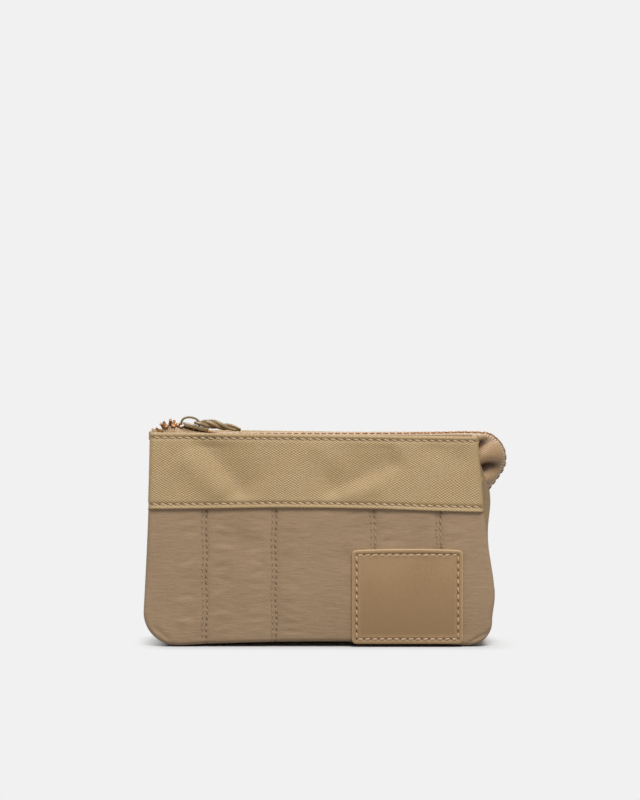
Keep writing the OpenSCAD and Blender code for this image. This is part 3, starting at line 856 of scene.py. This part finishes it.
def make_band(side):
    """The band, folded in over the mouth at its top and turned under at its foot."""
    across = cloth_stations(123.0, band_turn, 0.55) / 123.0
    fold_r, hem_r = band_fold_r, band_hem_r
    over_top, under_foot = np.radians(range(0, 181, 15))[::-1], np.radians(range(0, 151, 25))
    profile = [(wall_h - 2.6, 2 * fold_r)]
    profile += [(wall_h - fold_r + fold_r * math.sin(a), fold_r * (1 - math.cos(a))) for a in over_top]
    profile += [(v, 0.0) for v in np.linspace(wall_h - fold_r, band_foot + hem_r, 62)[1:-1]]
    profile += [(band_foot + hem_r - hem_r * math.sin(a), hem_r * (1 - math.cos(a))) for a in under_foot]
    profile = np.array(profile)
    piece, s, at, i, k = wall_cloth(f"{label[side]}_band_cloth", across, profile)
    v, sunk = at.T
    drawn_in = 0.45 * unit((band_foot + 3 - v) / 3) - 0.15
    low, high = left_edge(v) + drawn_in, right_edge(v, side) - drawn_in
    skirt = (i == 0) | (i == len(across) - 1)
    x = low + s * (high - low) + np.where(skirt, 0.45 * np.sign(0.5 - s), 0)
    d = np.where(skirt, 0, np.clip(np.minimum(x - low, high - x), 0, None))
    dropped = turned_edge(d, band_turn)
    inside = k < len(over_top) // 2 + 1
    face = band_height(x, np.clip(v, band_foot + hem_r, wall_h - fold_r * 0.4), side)
    w = face - sunk - np.where(inside, 0.3, 1.0) * dropped - np.where(skirt & ~inside, band_skirt, 0)
    w = np.where((v > wall_h - 1.6) & ~inside, np.maximum(w, face - 2 * fold_r + 0.35), w)
    set_points(piece, band_point(x, v, w, side))
    past_edge = dropped + np.where(skirt, band_skirt, 0)
    lay_map(piece, x + np.where(s > 0.5, past_edge, -past_edge), -run_length(profile)[k])
    top, foot_row = band_rows
    near = np.where(v > (top + foot_row) / 2, top, foot_row)
    start, _, step = band_row(near, side)
    mark_rows(piece, (x - start) / step * band_pitch, np.where(sunk > 0.5, 9, v - near))
    node, sheet = f"{label[side]}_band", ("folded", len(across) - 1)
    dress(piece, (0, side, 0), band_t, coated_band, "coated_band", side, node, smooth=60, sheet=sheet)


def band_row(v, side):
    """Where a sewn row of the band starts, how many stitches it has, and the length of one."""
    low, high = left_edge(v) + row_end_in, right_edge(v, side) - row_end_in
    count = np.floor((high - low) / band_pitch)
    return low, count, (high - low) / count


def band_point(x, v, w, side):
    """A point of the band, whose mouth hangs lower towards the right and whose hem waves a little."""
    along = unit((np.asarray(x) + 64) / 119)
    drop = (1.6 * along**1.1 - 0.5) * unit((v - 58) / 18) ** 1.5
    hem_x = (-66, -45, -18, 0, 20, 40, 60)
    wave = np.interp(x, hem_x, (0.0, 0.15, 0.6, 0.45, 0.1, -0.7, -1.2)) * unit((60 - v) / 10)
    return wall_point(x, v - drop + wave, w, side)


# ---------------------------------------------------------------- patch
patch_half = (np.array(patch_hi) - np.array(patch_lo)) / 2
patch_mid = np.array(patch_lo) + patch_half - np.array([0, patch_sink])


def patch_height(x, v, d):
    """The patch's face: a raised rim, the sewn row in it, and a pressed middle."""
    rim = patch_t - turned_edge(d, patch_turn)
    sewn = row_groove(d - patch_row_in, 0.34, 0.42)
    inwards = unit((d - 2.1) / 1.5)
    pressed = 0.14 * inwards**2 * (3 - 2 * inwards)
    return shell_out + crown(x, v) + rim - sewn - pressed + 0.05 * bell(d - 0.9, 0.5)


def make_patch():
    """The leather patch: a rounded rectangle, turned down at its edge, whose top edge bows up."""
    half, r = patch_half, patch_corner_r
    across, up = [cloth_stations(length, patch_turn, 0.3) for length in 2 * half]
    piece, a, b, i, k = wall_cloth("patch_leather", across, up)
    p = np.stack([a, b], 1) - half
    inner = half - r
    over = np.abs(p) - inner
    corner = (over > 0).all(1)
    reach = np.where(corner, over.max(1) / np.maximum(np.hypot(over[:, 0], over[:, 1]), 1e-9), 1)
    p = np.where(corner[:, None], np.sign(p) * (inner + np.clip(over, 0, None) * reach[:, None]), p)
    over = np.abs(p) - inner
    to_side = half - np.abs(p)
    d = np.where((over > 0).all(1), r - np.hypot(*np.clip(over, 0, None).T), to_side.min(1))
    d = np.clip(d, 0, None)
    wave = 0.5 * (1 - (p[:, 0] / half[0]) ** 2) * unit(p[:, 1] / half[1]) ** 2
    x, v = (p + patch_mid).T
    skirt = (i == 0) | (i == len(across) - 1) | (k == 0) | (k == len(up) - 1)
    w = patch_height(x, v, d) - np.where(skirt, 1.1, 0)
    set_points(piece, wall_point(x, v + wave, w, FRONT))
    lay_map(piece, x, v)
    row = 2 * (half - patch_row_in)
    along = (p + row / 2) / (row / np.round(row / band_pitch)) * band_pitch
    mark_rows(piece, np.where(to_side[:, 0] > to_side[:, 1], along[:, 0], along[:, 1]), d - patch_row_in)
    dress(piece, (0, -1, 0), 0.5, patch_leather, "patch_leather", FRONT, "patch")


# ---------------------------------------------------------------- stitches
def make_stitch():
    """One stitch, lying along X with its ends in their needle holes: two plies of a twisted thread."""
    deselect()
    bpy.ops.mesh.primitive_uv_sphere_add(segments=8, ring_count=7, radius=1)
    piece = bpy.context.object
    quarter_turn = {"value": math.pi / 2, "orient_axis": "Y", "center_override": (0, 0, 0)}
    edited(piece, (bpy.ops.transform.rotate, quarter_turn))
    x, y, z = points(piece).T
    fat = 0.33 * (1 + 0.13 * np.cos(2 * np.arctan2(z, y) + x * 4.2))
    blunt = np.clip(np.hypot(y, z), 1e-6, None) ** -0.35
    bent = z * fat * blunt - 0.16 * np.abs(x) ** 2.6
    set_points(piece, np.stack([x * 1.02, y * fat * blunt, bent], 1) / 1000)
    for f in piece.data.polygons:
        f.use_smooth = True
    return piece


def stitch_place(at, along, out, long=1.0, slim=1.0):
    """The place of one stitch: at a point in metres, along one way and out along another."""
    along, out = Vector(along).normalized(), Vector(out).normalized()
    over = out.cross(along).normalized()
    turn = Matrix((along * long, over * slim, along.cross(over))).transposed().to_4x4()
    return Matrix.Translation(Vector(at)) @ turn


def sew(point, path, slant, long=1.0, slim=1.0):
    """Places for stitches whose middles follow path, a list of (x, v, way) on a face given by point."""
    places = []
    for n, (x, v, way) in enumerate(path):
        turn = math.radians(way + slant + 3.0 * math.sin(n * 2.3))
        step = 0.3 * np.array([math.cos(turn), math.sin(turn)])
        at = point(x, v)
        run = point(x + step[0], v + step[1]) - at
        out = np.cross(run, point(x - step[1], v + step[0]) - at)
        if out[1] * at[1] < 0:
            out = -out
        out = out / np.linalg.norm(out)
        places.append(stitch_place(at + out * 0.00022, run, out, long, slim))
    return places


def sew_band(side):
    places = []
    for v in band_rows:
        low, count, step = band_row(np.array(v), side)
        path = [(float(low + step * (n + 0.5)), v, 0) for n in range(int(count))]
        places += sew(lambda x, v: band_point(x, v, band_height(x, v, side), side), path, 12 * side, 0.92)
    return places


def sew_quilt(side):
    """The rows of each quilting seam, with the same slow wander that their grooves have."""
    places = []
    surface = lambda x, v: wall_point(x, arched(x, v), shell_height(x, v, side), side)
    for seam, seam_x in enumerate(quilt_seams):
        foot_v = patch_hi[1] + 1 if side == FRONT and seam >= 2 else quilt_low
        step = quilt_step(foot_v)
        up = [foot_v + step * (n + 0.5) for n in range(round((quilt_top - foot_v) / step))]
        for row_x, slant, long, slim in ((0, -10, 0.8, 0.8), (quilt_pair, 14, 0.55, 0.5)):
            path = [(seam_x - row_x - 0.22 * math.sin(v * 0.33 + seam * 2.1), v, 90) for v in up]
            places += sew(surface, path, slant * side, long, slim)
    return places


def sew_patch():
    places = []
    surface = lambda x, v: wall_point(x, v, patch_height(x, v, patch_row_in), FRONT)
    corners = patch_mid + (patch_half - patch_row_in) * np.array([(-1, -1), (1, -1), (1, 1), (-1, 1)])
    for a, b, way in zip(corners, np.roll(corners, -1, 0), (0, 90, 180, 270)):
        count = round(float(np.hypot(*(b - a))) / band_pitch)
        path = [(*(a + (b - a) * (m + 0.5) / count), way) for m in range(count)]
        places += sew(surface, path, 6)
    return places


def make_stitches():
    jobs = []
    for kind, sewn, mat in (("band", sew_band, thread), ("quilt", sew_quilt, quilt_thread)):
        jobs += [(f"{label[side]}_{kind}", sewn(side), mat, side) for side in (FRONT, BACK)]
    jobs.append(("patch", sew_patch(), thread, FRONT))
    for name, places, mat, side in jobs:
        piece, seat = repeat(make_stitch(), places, name + "_thread")
        tie(piece, mat, "thread", side, name + "_stitches", seat=seat)


# ---------------------------------------------------------------- zip: its line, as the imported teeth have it
mouth_z = foot + wall_h
slider_x = mouth_left + 16.4
slider_z = mouth_z + 0.3
slider_tilt = math.radians(8.6)
slider_l = 9.0
zip_drop = 22.0
ear_r = 8.8
ear = np.array([x_right + 4.4 - ear_r - 1.1, mouth_z - ear_r - 0.6])
half_chain = 1.9
parted = 1.6
tape_mid = 0.6
tape_t = 0.5
flange = 7.0
chain_lift = 0.55


def near_slider(d):
    return [slider_x + d, slider_z - d * math.tan(slider_tilt)]


def zip_curve():
    """The zip's line seen from the front: points along it, and the length up to each."""
    route = [
        [slider_x - 13, mouth_z - 2],
        [slider_x - 12.1, mouth_z + 0.4],
        [slider_x - 9.8, mouth_z + 2.1],
        [slider_x - 7.2, mouth_z + 2],
        near_slider(-slider_l / 2),
        near_slider(0),
        near_slider(slider_l / 2),
        [slider_x + 10.4, mouth_z - 1.45],
        [slider_x + 18.4, mouth_z - 1.6],
        [slider_x + 30, mouth_z - 1.6],
        [0, mouth_z - 1.6],
        [mouth_right - 29, mouth_z - 1.5],
        [mouth_right - 10, mouth_z - 1.3],
        [mouth_right - 3, mouth_z - 0.9],
    ]
    turns = np.radians(range(75, -41, -23))
    route += [ear + ear_r * np.array([math.cos(a), math.sin(a)]) for a in turns]
    route += [[mouth_right + 3.2, mouth_z - zip_drop + 1.4], [mouth_right + 0.8, mouth_z - zip_drop - 0.6]]
    p = np.array([route[0], *route, route[-1]])
    t = np.arange(8)[:, None] / 8
    curve = []
    for a, b, c, d in zip(p, p[1:], p[2:], p[3:]):
        bend = (2 * a - 5 * b + 4 * c - d) * t**2 + (3 * b - a - 3 * c + d) * t**3
        curve.append(0.5 * (2 * b + (c - a) * t + bend))
    curve = np.vstack([*curve, p[-1:]])
    return curve, run_length(curve)


zip_line, zip_s = zip_curve()
zip_l = zip_s[-1]
before_ear = slice(0, 14 * 8)
slider_s, corner_s = np.interp(
    [slider_x, mouth_right - 3], zip_line[before_ear, 0], zip_s[before_ear]
)


def on_zip(s, side=FRONT):
    """The zip's line at s. The closed chain stands proud of the mouth, and rolls a little to the front."""
    proud = unit((s - slider_s - 7) / 9) * unit((corner_s + 4 - s) / 8)
    lift = chain_lift if side == FRONT else chain_lift - 0.5 * unit((corner_s - 18 - s) / 12)
    return np.interp(s, zip_s, zip_line[:, 0]), np.interp(s, zip_s, zip_line[:, 1]) + lift * proud


def zip_frame(s, side):
    """For each place on the zip: the bead's point, and the tape's up and sideways ways, as if in front."""
    x, z = on_zip(s, side)
    (xa, za), (xb, zb) = on_zip(s - 0.4, side), on_zip(s + 0.4, side)
    slope = np.arctan2(zb - za, xb - xa)
    past = slider_s - slider_l / 2 - s
    apart = np.where(
        past > 0,
        parted + 0.9 * np.clip(past / 3, None, 1),
        np.clip(parted * (slider_s + 0.8 - s) / (slider_l / 2 + 0.8), 0, None),
    )
    turn = np.radians(np.where(past > 1.5, 65 * np.clip((past - 1.5) / 2.4, None, 1), 0))
    bead = np.stack([x, -half_chain - apart, z], 1)
    n = np.stack([-np.sin(slope) * np.cos(turn), -np.sin(turn), np.cos(slope) * np.cos(turn)], 1)
    u = np.stack([-np.sin(slope) * np.sin(turn), np.cos(turn), np.cos(slope) * np.sin(turn)], 1)
    return bead, n, u


def tape_seam(s, side):
    """Where the tape is sewn to its wall, and which way its hidden edge runs from there."""
    share = unit((s - corner_s) / (zip_l - corner_s))
    top = wall_h - 0.6
    v = top + (wall_h - zip_drop - top) * share
    x, _ = on_zip(s)
    mouth_x = np.clip(x, mouth_left + 1.1, mouth_right - 3)
    round_corner = unit(share / 0.14) ** 0.8
    at_x = mouth_x * (1 - round_corner) + (right_edge(v, side) - 1.1) * round_corner
    return at_x, v, share


def gathers(s, t):
    """How the tape's spare length folds where it turns the corner: deep valleys near the wall.

    s and t run from 0 to 1, along the corner and from the teeth to the wall.
    """
    out = 0.5 * math.sin(math.pi * t) ** 2 * unit((1 - s) / 0.25)
    near_wall = math.sin(math.pi * min(1.0, 0.5 * t + 0.5 * t**3)) ** 1.1
    for at, wide, deep in ((0.235, 0.075, 2.6), (0.6, 0.08, 3.0), (0.88, 0.05, 0.7)):
        out -= deep * near_wall * bell(s - at, wide)
        if at < 0.5:
            out += 0.3 * deep * near_wall * bell(s - at - 2.6 * wide, 1.3 * wide)
    return out


def make_tape(side):
    """The satin tape: from between the teeth's legs over to the wall, gathered round the corner."""
    s_at = np.linspace(0.3, zip_l - 0.3, 470)
    bead, n, u = zip_frame(s_at, side)
    seam_x, seam_v, share = tape_seam(s_at, side)
    top = wall_point(seam_x, seam_v, tape_mid + 0.45 * (1 - share), FRONT) * 1000
    way = share * np.pi / 2
    end = wall_point(seam_x - flange * np.sin(way), seam_v - flange * np.cos(way), tape_mid, FRONT) * 1000
    corded = n * (0.26 * unit((s_at - slider_s - slider_l / 2) / 3))[:, None]
    inner, outer = bead + u * 0.15, bead - u * 0.9 + corded * 0.7
    rows, folded = [inner, (inner + outer) / 2 + corded], [0 * s_at, 0 * s_at]
    reach = np.linalg.norm(top - outer, axis=1)[:, None]
    rising = np.stack([np.sin(way), -math.sin(lean) * np.cos(way), np.cos(way)], 1)
    past_corner = s_at - corner_s
    fan = unit((past_corner - 1) / 5) * unit((zip_l - 2 - s_at) / 5)
    near_teeth = outer - u * reach * 0.35
    over_seam = top + rising * reach * (0.04 + 0.26 * fan)[:, None]
    for t in np.linspace(0, 1, 23):
        middle = 3 * (1 - t) ** 2 * t * near_teeth + 3 * (1 - t) * t**2 * over_seam
        rows.append((1 - t) ** 3 * outer + middle + t**3 * top)
        folded.append(fan * gathers(past_corner / (zip_l - corner_s), t))
    rows += [top * (1 - t) + end * t for t in (0.2, 0.6, 1.0)]
    folded += [0 * s_at] * 3
    rows, folded = np.stack(rows, 1), np.stack(folded, 1)
    facing = np.cross(np.gradient(rows, axis=0), np.gradient(rows, axis=1))
    facing /= np.maximum(np.linalg.norm(facing, axis=2), 1e-9)[:, :, None]
    towards = (facing * (n[:, None, :] + np.array([0, -1, 0]))).sum(2)
    rows = rows + facing * (np.sign(towards) * folded)[:, :, None]
    piece, s, _, i, k = wall_cloth(f"zip_tape_{label[side]}_satin", s_at, np.arange(rows.shape[1]))
    # Each fold's depth goes into the row attribute, from which the tape's material paints shade in the
    # valleys.
    mark_rows(piece, 0 * s, folded[i, k])
    set_points(piece, rows[i, k] * np.array([1, -side, 1]) / 1000)
    lay_map(piece, s, k * 0.8)
    node, sheet = f"zip_tape_{label[side]}", ("gathered", len(s_at) - 1)
    dress(piece, (0, 0, 1), 0.42, satin_tape, "tape", side, node, smooth=60, sheet=sheet, both_ways=True)


leg_l, head_l = 1.7, 1.12
tooth_h = 1.95
head_reach = 2.45
tooth_pitch = 2.5
end_gap = 2.4


def make_tooth():
    """One tooth in its own frame: X along the zip, Y towards the other row, Z through the chain."""
    deselect()
    bpy.ops.mesh.primitive_cube_add(size=1)
    piece = bpy.context.object
    set_points(piece, points(piece) * np.array([leg_l, 1.15, tooth_h]) + np.array([0, 0.1, 0]))
    edited(piece, (bpy.ops.mesh.select_all, {"action": "DESELECT"}))
    for f in piece.data.polygons:
        f.select = f.normal.y > 0.9
    steps = []
    for reach, scale in ((0.3, (head_l / leg_l, 1, 0.94)), (head_reach - 0.98, (0.86, 1, 0.9))):
        move = {"TRANSFORM_OT_translate": {"value": (0, reach, 0)}}
        steps += [(bpy.ops.mesh.extrude_region_move, move), (bpy.ops.transform.resize, {"value": scale})]
    edited(piece, *steps, whole=False)
    bpy.ops.mesh.primitive_cube_add(size=1, location=(0, -0.2, 0), scale=(3, 1.3, tape_t + 0.12))
    slot = bpy.context.object
    finish_with(piece, "BOOLEAN", operation="DIFFERENCE", object=slot, solver="EXACT")
    bpy.data.objects.remove(slot)
    finish_with(piece, "BEVEL", width=0.17, segments=2, limit_method="ANGLE", angle_limit=math.radians(30))
    set_points(piece, points(piece) / 1000)
    soften(piece, 50)
    return piece


def make_teeth(side):
    """A row of teeth, each gripping the tape's edge at its own place along the zip."""
    node = f"zip_teeth_{label[side]}"
    start = end_gap + (0 if side == FRONT else tooth_pitch / 2)
    mirror = np.array([1, -side, 1])
    places = []
    for b, up, over in zip(*zip_frame(np.arange(start, zip_l - end_gap - 1, tooth_pitch), side)):
        places.append(stitch_place(b * mirror / 1000, np.cross(over * mirror, up * mirror), up * mirror))
    piece, seat = repeat(make_tooth(), places, node + "_metal")
    tie(piece, copper, "copper_zip", side, node, seat=seat)


def tube(name, line, radius):
    """A round bar along a line of points in millimetres, with a radius for each point."""
    data = bpy.data.curves.new(name, "CURVE")
    put(data, {"dimensions": "3D", "bevel_depth": 0.001, "bevel_resolution": 5, "use_fill_caps": True})
    run = data.splines.new("POLY")
    run.points.add(len(line) - 1)
    for point, co, r in zip(run.points, line, radius):
        point.co = (*(co / 1000), 1)
        point.radius = r
    take(link(name, data))
    bpy.ops.object.convert(target="MESH")
    return bpy.context.object


pull_l = 16.6
pull_tilt = math.radians(9.0)
strand_r = 0.78


def make_slider():
    """The slider's painted body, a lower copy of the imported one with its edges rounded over."""
    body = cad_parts["slider_body"].copy()
    body.data = body.data.copy()
    body.parent = None
    body.name = body.data.name = "slider_body_painted"
    for key in list(body.keys()):
        del body[key]
    bpy.context.collection.objects.link(body)
    merge = (bpy.ops.mesh.remove_doubles, {"threshold": 0.000002})
    edited(body, merge, (bpy.ops.mesh.dissolve_limited, {"angle_limit": math.radians(1.5)}))
    rounded = {"width": 0.0003, "segments": 3, "limit_method": "ANGLE", "angle_limit": math.radians(35)}
    finish_with(body, "BEVEL", use_clamp_overlap=True, **rounded)
    soften(body, 40)
    home = Vector((slider_x - 0.3, 0, slider_z)) / 1000
    body.data.transform(Matrix.Rotation(-slider_tilt, 4, "Y") @ Matrix.Translation(-home))
    co = points(body)
    co[:, 2] = co[:, 2].max() - (co[:, 2].max() - co[:, 2]) * 0.72
    set_points(body, co)
    body.data.transform(Matrix.Translation(home) @ Matrix.Rotation(slider_tilt + math.radians(6), 4, "Y"))
    tie(body, painted, "painted_slider", "slider", "slider_body")


def make_bridge():
    """The bent bar over the slider that the pull swings in."""
    angle = np.radians(np.linspace(-14, 194, 60))
    bow = np.sign(np.sin(angle)) * np.abs(np.sin(angle)) ** 0.8
    line = np.stack([3.3 * np.cos(angle), 0 * angle, 2.5 * bow], 1)
    bridge = tube("slider_bridge_painted", line, 0.42 + 0 * angle)
    set_points(bridge, points(bridge) * np.array([1, 1.7, 1]))
    low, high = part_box("slider_bridge")
    middle = Matrix.Translation(((low.x + high.x) / 2 - 0.0002, 0, low.z + 0.0006))
    bridge.data.transform(middle @ Matrix.Rotation(slider_tilt, 4, "Y"))
    soften(bridge, 60)
    tie(bridge, painted, "painted_slider", "slider", "slider_bridge")


def strand_line(phase, start):
    """The middle of one strand of the pull, from its bar in the bridge to its tip, in the pull's frame."""
    t = np.linspace(start, 1, 90)
    x = pull_l * unit((t - 0.08) / 0.92)
    narrow = unit((x - 1.8) / 2.6)
    twisted = unit((x - 2.2) / (pull_l - 2.2))
    rope_r = 0.84 * (1 - 0.7 * unit((twisted - 0.55) / 0.45) ** 1.3)
    if start > 0:
        r = rope_r * unit((t - start) / 0.14)
    else:
        r = 1.6 * np.sin(np.pi / 2 * unit(t / 0.1)) * (1 - narrow) + rope_r * narrow
    a = phase + 2 * np.pi * 0.9 * twisted
    lift = 0.55 * np.sin(np.pi * twisted**0.9)
    return np.stack([x, r * np.cos(a), 1.12 * r * np.sin(a) + lift], 1)


def make_pull():
    """The pull: a rod bent through the bridge and twisted with a third strand into a tapering rope."""
    parts = []
    for phase, start in ((0, 0), (math.pi, 0), (math.pi / 2, 0.14)):
        line = strand_line(phase, start)
        x = line[:, 0]
        slim = 1 - 0.5 * unit((x - pull_l + 7) / 7) - 0.28 * unit(1 - x / 3.5)
        parts.append(tube("strand", line, strand_r * slim))
    deselect()
    bpy.ops.mesh.primitive_uv_sphere_add(segments=24, ring_count=16, radius=0.00045)
    tip = bpy.context.object
    set_points(tip, points(tip) * np.array([1.1, 1, 0.8]) + np.array([pull_l - 0.3, 0, 0]) / 1000)
    pull = join_all([*parts, tip], "puller_painted")
    finish_with(pull, "REMESH", mode="VOXEL", voxel_size=0.00012)
    finish_with(pull, "SMOOTH", factor=0.5, iterations=2)
    low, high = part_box("puller")
    bar = Vector((low.x + 0.00057, 0, high.z - 0.00057))
    pull.data.transform(Matrix.Translation(bar) @ Matrix.Rotation(pull_tilt, 4, "Y"))
    soften(pull, 80)
    tie(pull, painted, "painted_slider", "pull", "puller")


# ---------------------------------------------------------------- inside and sides
def make_lining(side):
    """A wall's lining, a little slack, from the base up to the fold of the band."""
    height = wall_h - lining_short
    piece, s, q = cloth_grid(f"{label[side]}_lining_cloth", 120, 70)
    v = lining_from + q * height
    low, high = left_edge(v) + lining_from, right_edge(v, BACK) - lining_from
    x = low + s * (high - low)
    calm = unit(edge_distance(x, v, BACK) / 10) * unit((wall_h - v) / 12)
    slack = np.sin(x * 0.16 + 0.6 * np.sin(v * 0.11)) * 0.35 + np.sin(v * 0.21 + x * 0.05) * 0.25
    w = 0.15 + crown(x, v) * 0.6 + calm * slack * 0.6
    set_points(piece, wall_point(x, arched(x, v), w, side))
    lay_map(piece, x, v)
    node = f"{label[side]}_lining"
    dress(piece, (0, -side, 0), lining_t, lining_cloth, "lining", side, node)


def make_card_pocket():
    """The slip pocket on the back lining, with its mouth turned under and a little slack."""
    lo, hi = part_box("card_pocket")
    width, height, foot_v = (hi.x - lo.x) * 1000, 52.0, 8.0
    mid = (hi.x + lo.x) * 500
    piece, s, q = cloth_grid("card_pocket_cloth", 100, 50)
    x = mid + (s - 0.5) * width
    v = foot_v + q * height
    d = np.minimum(width / 2 - np.abs(x - mid), v - foot_v)
    gape = unit(d / 14) * q**2 * 1.6
    hem = 0.35 * bell(height + foot_v - v - 1.2, 1.0)
    w = -0.35 - gape - hem + 0.12 * np.sin(x * 0.22) * unit(d / 6) + crown(x, v) * 0.5
    set_points(piece, wall_point(x, v, w, BACK))
    lay_map(piece, x, v)
    dress(piece, (0, -1, 0), 0.3, lining_cloth, "lining", BACK, "card_pocket")


def half_depth(z):
    return base_d / 2 - (z - foot) * math.tan(lean)


def make_gusset(way):
    """A side gusset, left (-1) or right (1): a soft V of cloth, its fold pointing in between the walls."""
    right = way > 0
    z_foot, z_top = 16.4, 54.8 if right else 75.0
    piece, s, q = cloth_grid("right_gusset_cloth" if right else "left_gusset_cloth", 40, 70)
    across = s * 2 - 1
    out = np.abs(across)
    corners = (0.0 if right else 1.5) * unit((out - 0.45) / 0.4)
    z = z_foot + q * (z_top - z_foot + corners)
    half = half_depth(z) - 0.05
    v = z - foot
    edge = right_edge(v, FRONT) * (1 - s) + right_edge(v, BACK) * s if right else left_edge(v)
    deep = (3.6 if right else 6.0) * unit((z - 17) / (z_top - 17)) ** 0.9
    deep = deep * (1 - 0.35 * unit((z - 66) / 8))
    valley = (1 - np.sqrt(across**2 + 0.012)) / (1 - math.sqrt(0.012))
    swell = np.sin(np.pi * unit(out))
    belly = 0.7 * swell * (1 - q) + 0.25 * np.sin(z * 0.42 + 2.2 * np.sign(across)) * swell
    x = edge - way * (0.35 + deep * unit(valley) - belly)
    set_points(piece, np.stack([x, across * half, z], 1) / 1000)
    lay_map(piece, across * half, z)
    no_rows(piece)
    node = "right_gusset" if right else "left_gusset"
    dress(piece, (way, 0, 0), 0.6, nylon, "nylon", "pouch", node, sheet=("folded", 40))


def no_rows(piece):
    """Marks a piece as far from any sewn row."""
    far = np.zeros(len(piece.data.vertices))
    mark_rows(piece, far, far + 50)


def base_path(inset, count):
    """The lower outline from one gusset round to the other, moved inwards."""
    ring = outline(BACK, 120)
    low = ring[ring[:, 1] < gusset_from]
    left = low[low[:, 0] < 0]
    right = low[low[:, 0] > 0]
    path = np.vstack([left[np.argsort(-left[:, 1])], right[np.argsort(right[:, 1])]])
    way = np.gradient(path, axis=0)
    way /= np.maximum(np.hypot(way[:, 0], way[:, 1]), 1e-9)[:, None]
    path = path + inset * np.stack([-way[:, 1], way[:, 0]], 1)
    s = run_length(path)
    at = np.linspace(0, s[-1], count)
    return np.stack([np.interp(at, s, path[:, 0]), np.interp(at, s, path[:, 1])], 1), at


def make_base(node, name, inset, thick, mat, slot, shallower):
    """A strip that runs down one side, under the pouch and up the other."""
    path, at = base_path(inset, 240)
    piece, far, q, i, _ = wall_cloth(name, at, np.linspace(0, 1, 37))
    x, v = path[i].T
    low = unit(1 - v / 6)
    z = v + low * (foot_arch(x) + 0.9 * unit(foot_arch(x) / arch_h))
    across = q * 2 - 1
    half = half_depth(z) - 0.15 - shallower
    z = z + 0.5 * low * (1 - across**2) * unit(foot_arch(x))
    set_points(piece, np.stack([x, across * half, z], 1) / 1000)
    lay_map(piece, far, across * half)
    no_rows(piece)
    dress(piece, (0, 0, -1), thick, mat, slot, "pouch", node, sheet=("stretched", len(at) - 1))


# ---------------------------------------------------------------- the pouch, its floor, light and camera
for side in (FRONT, BACK):
    make_shell(side)
for side in (FRONT, BACK):
    make_band(side)
make_patch()
make_stitches()
for side in (FRONT, BACK):
    make_tape(side)
    make_teeth(side)
    make_lining(side)
make_card_pocket()
make_gusset(-1)
make_gusset(1)
make_base("base_panel", "base_strip", 0.45, 0.8, nylon, "nylon", 0.0)
make_base("base_lining", "base_lining_cloth", 1.5, lining_t, lining_cloth, "lining", 0.3)
make_slider()
make_bridge()
make_pull()
for node in ("zip_top_stops", "zip_bottom_stop"):
    paint(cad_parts[node], copper)

ground = grey(0.879)


def seen_directly(w):
    """1 for what the camera sees, straight, mirrored or through glass, and 0 for light on the pouch."""
    path = w.add("ShaderNodeLightPath").outputs
    seen = w.math("MAXIMUM", path["Is Camera Ray"], path["Is Glossy Ray"])
    return w.math("MAXIMUM", seen, path["Is Transmission Ray"])


def mix_into(w, output, share, a, b):
    mix = w.add("ShaderNodeMixShader", {0: share, 1: a.outputs[0], 2: b.outputs[0]})
    w.add(output, {0: mix.outputs[0]})


def make_floor():
    """A pale floor that takes the pouch's shadow near it, and shows its own colour further off."""
    deselect()
    bpy.ops.mesh.primitive_grid_add(x_subdivisions=8, y_subdivisions=8, size=30, location=(0, 0, 0))
    floor = bpy.context.object
    floor.name = floor.data.name = "studio_floor"
    mat = bpy.data.materials.new("studio_floor")
    mat.use_nodes = True
    w = Wiring(mat.node_tree)
    w.tree.nodes.clear()
    seen = seen_directly(w)
    plain = w.add("ShaderNodeBsdfDiffuse", {"Color": w.blend(seen, grey(0.38), grey(0.56))})
    glow = w.add("ShaderNodeEmission", {"Color": ground})
    place = w.split(w.add("ShaderNodeTexCoord").outputs["Object"])
    past = []
    for at, half in ((place[0], 0.056), (place[1], 0.013)):
        beyond = w.math("MAXIMUM", w.minus(w.math("ABSOLUTE", at), half), 0)
        past.append(w.math("POWER", beyond, 2))
    away = w.spread(w.math("SQRT", w.plus(*past)), 0.001, 0.014)
    mix_into(w, "ShaderNodeOutputMaterial", w.times(seen, away), plain, glow)
    paint(floor, mat)


def make_surroundings():
    """Soft light from all round, strongest from above, with the pale ground colour behind."""
    world = bpy.data.worlds.new("studio")
    bpy.context.scene.world = world
    world.use_nodes = True
    w = Wiring(world.node_tree)
    w.tree.nodes.clear()
    brightest = tuple(Vector((0.05, -0.25, 0.9)).normalized())
    sockets = {0: w.add("ShaderNodeTexCoord").outputs["Generated"], 1: brightest}
    facing = w.add("ShaderNodeVectorMath", sockets, operation="DOT_PRODUCT").outputs["Value"]
    strength = w.spread(facing, -0.3, 1.0, 0.2, 0.66)
    light = w.add("ShaderNodeBackground", {"Color": grey(1), "Strength": strength})
    back = w.add("ShaderNodeBackground", {"Color": ground})
    mix_into(w, "ShaderNodeOutputWorld", seen_directly(w), light, back)


def look_along(piece, way):
    piece.rotation_euler = way.to_track_quat("-Z", "Y").to_euler()


def lamp(name, come_from, spread, power):
    """Soft light of the same strength everywhere, from one side."""
    data = bpy.data.lights.new(name, "SUN")
    put(data, {"energy": power, "angle": math.radians(spread)})
    look_along(link(name, data), -Vector(come_from))


def make_camera():
    data = bpy.data.cameras.new("camera")
    data.sensor_fit = "HORIZONTAL"
    data.sensor_width = 36
    distance, width_seen = 1.3, 0.2327
    data.lens = data.sensor_width * distance / width_seen
    piece = link("camera", data)
    rise = math.radians(2.5)
    aim = Vector((-0.00208, 0, 0.0885))
    piece.location = aim + distance * Vector((0, -math.cos(rise), math.sin(rise)))
    look_along(piece, aim - piece.location)
    bpy.context.scene.camera = piece


make_floor()
make_surroundings()
lamp("key", (0.12, -0.62, 0.92), 26, 2.9)
lamp("back_fill", (-0.15, 0.8, 0.75), 70, 1.5)
make_camera()
bpy.context.scene.view_settings.view_transform = "Standard"
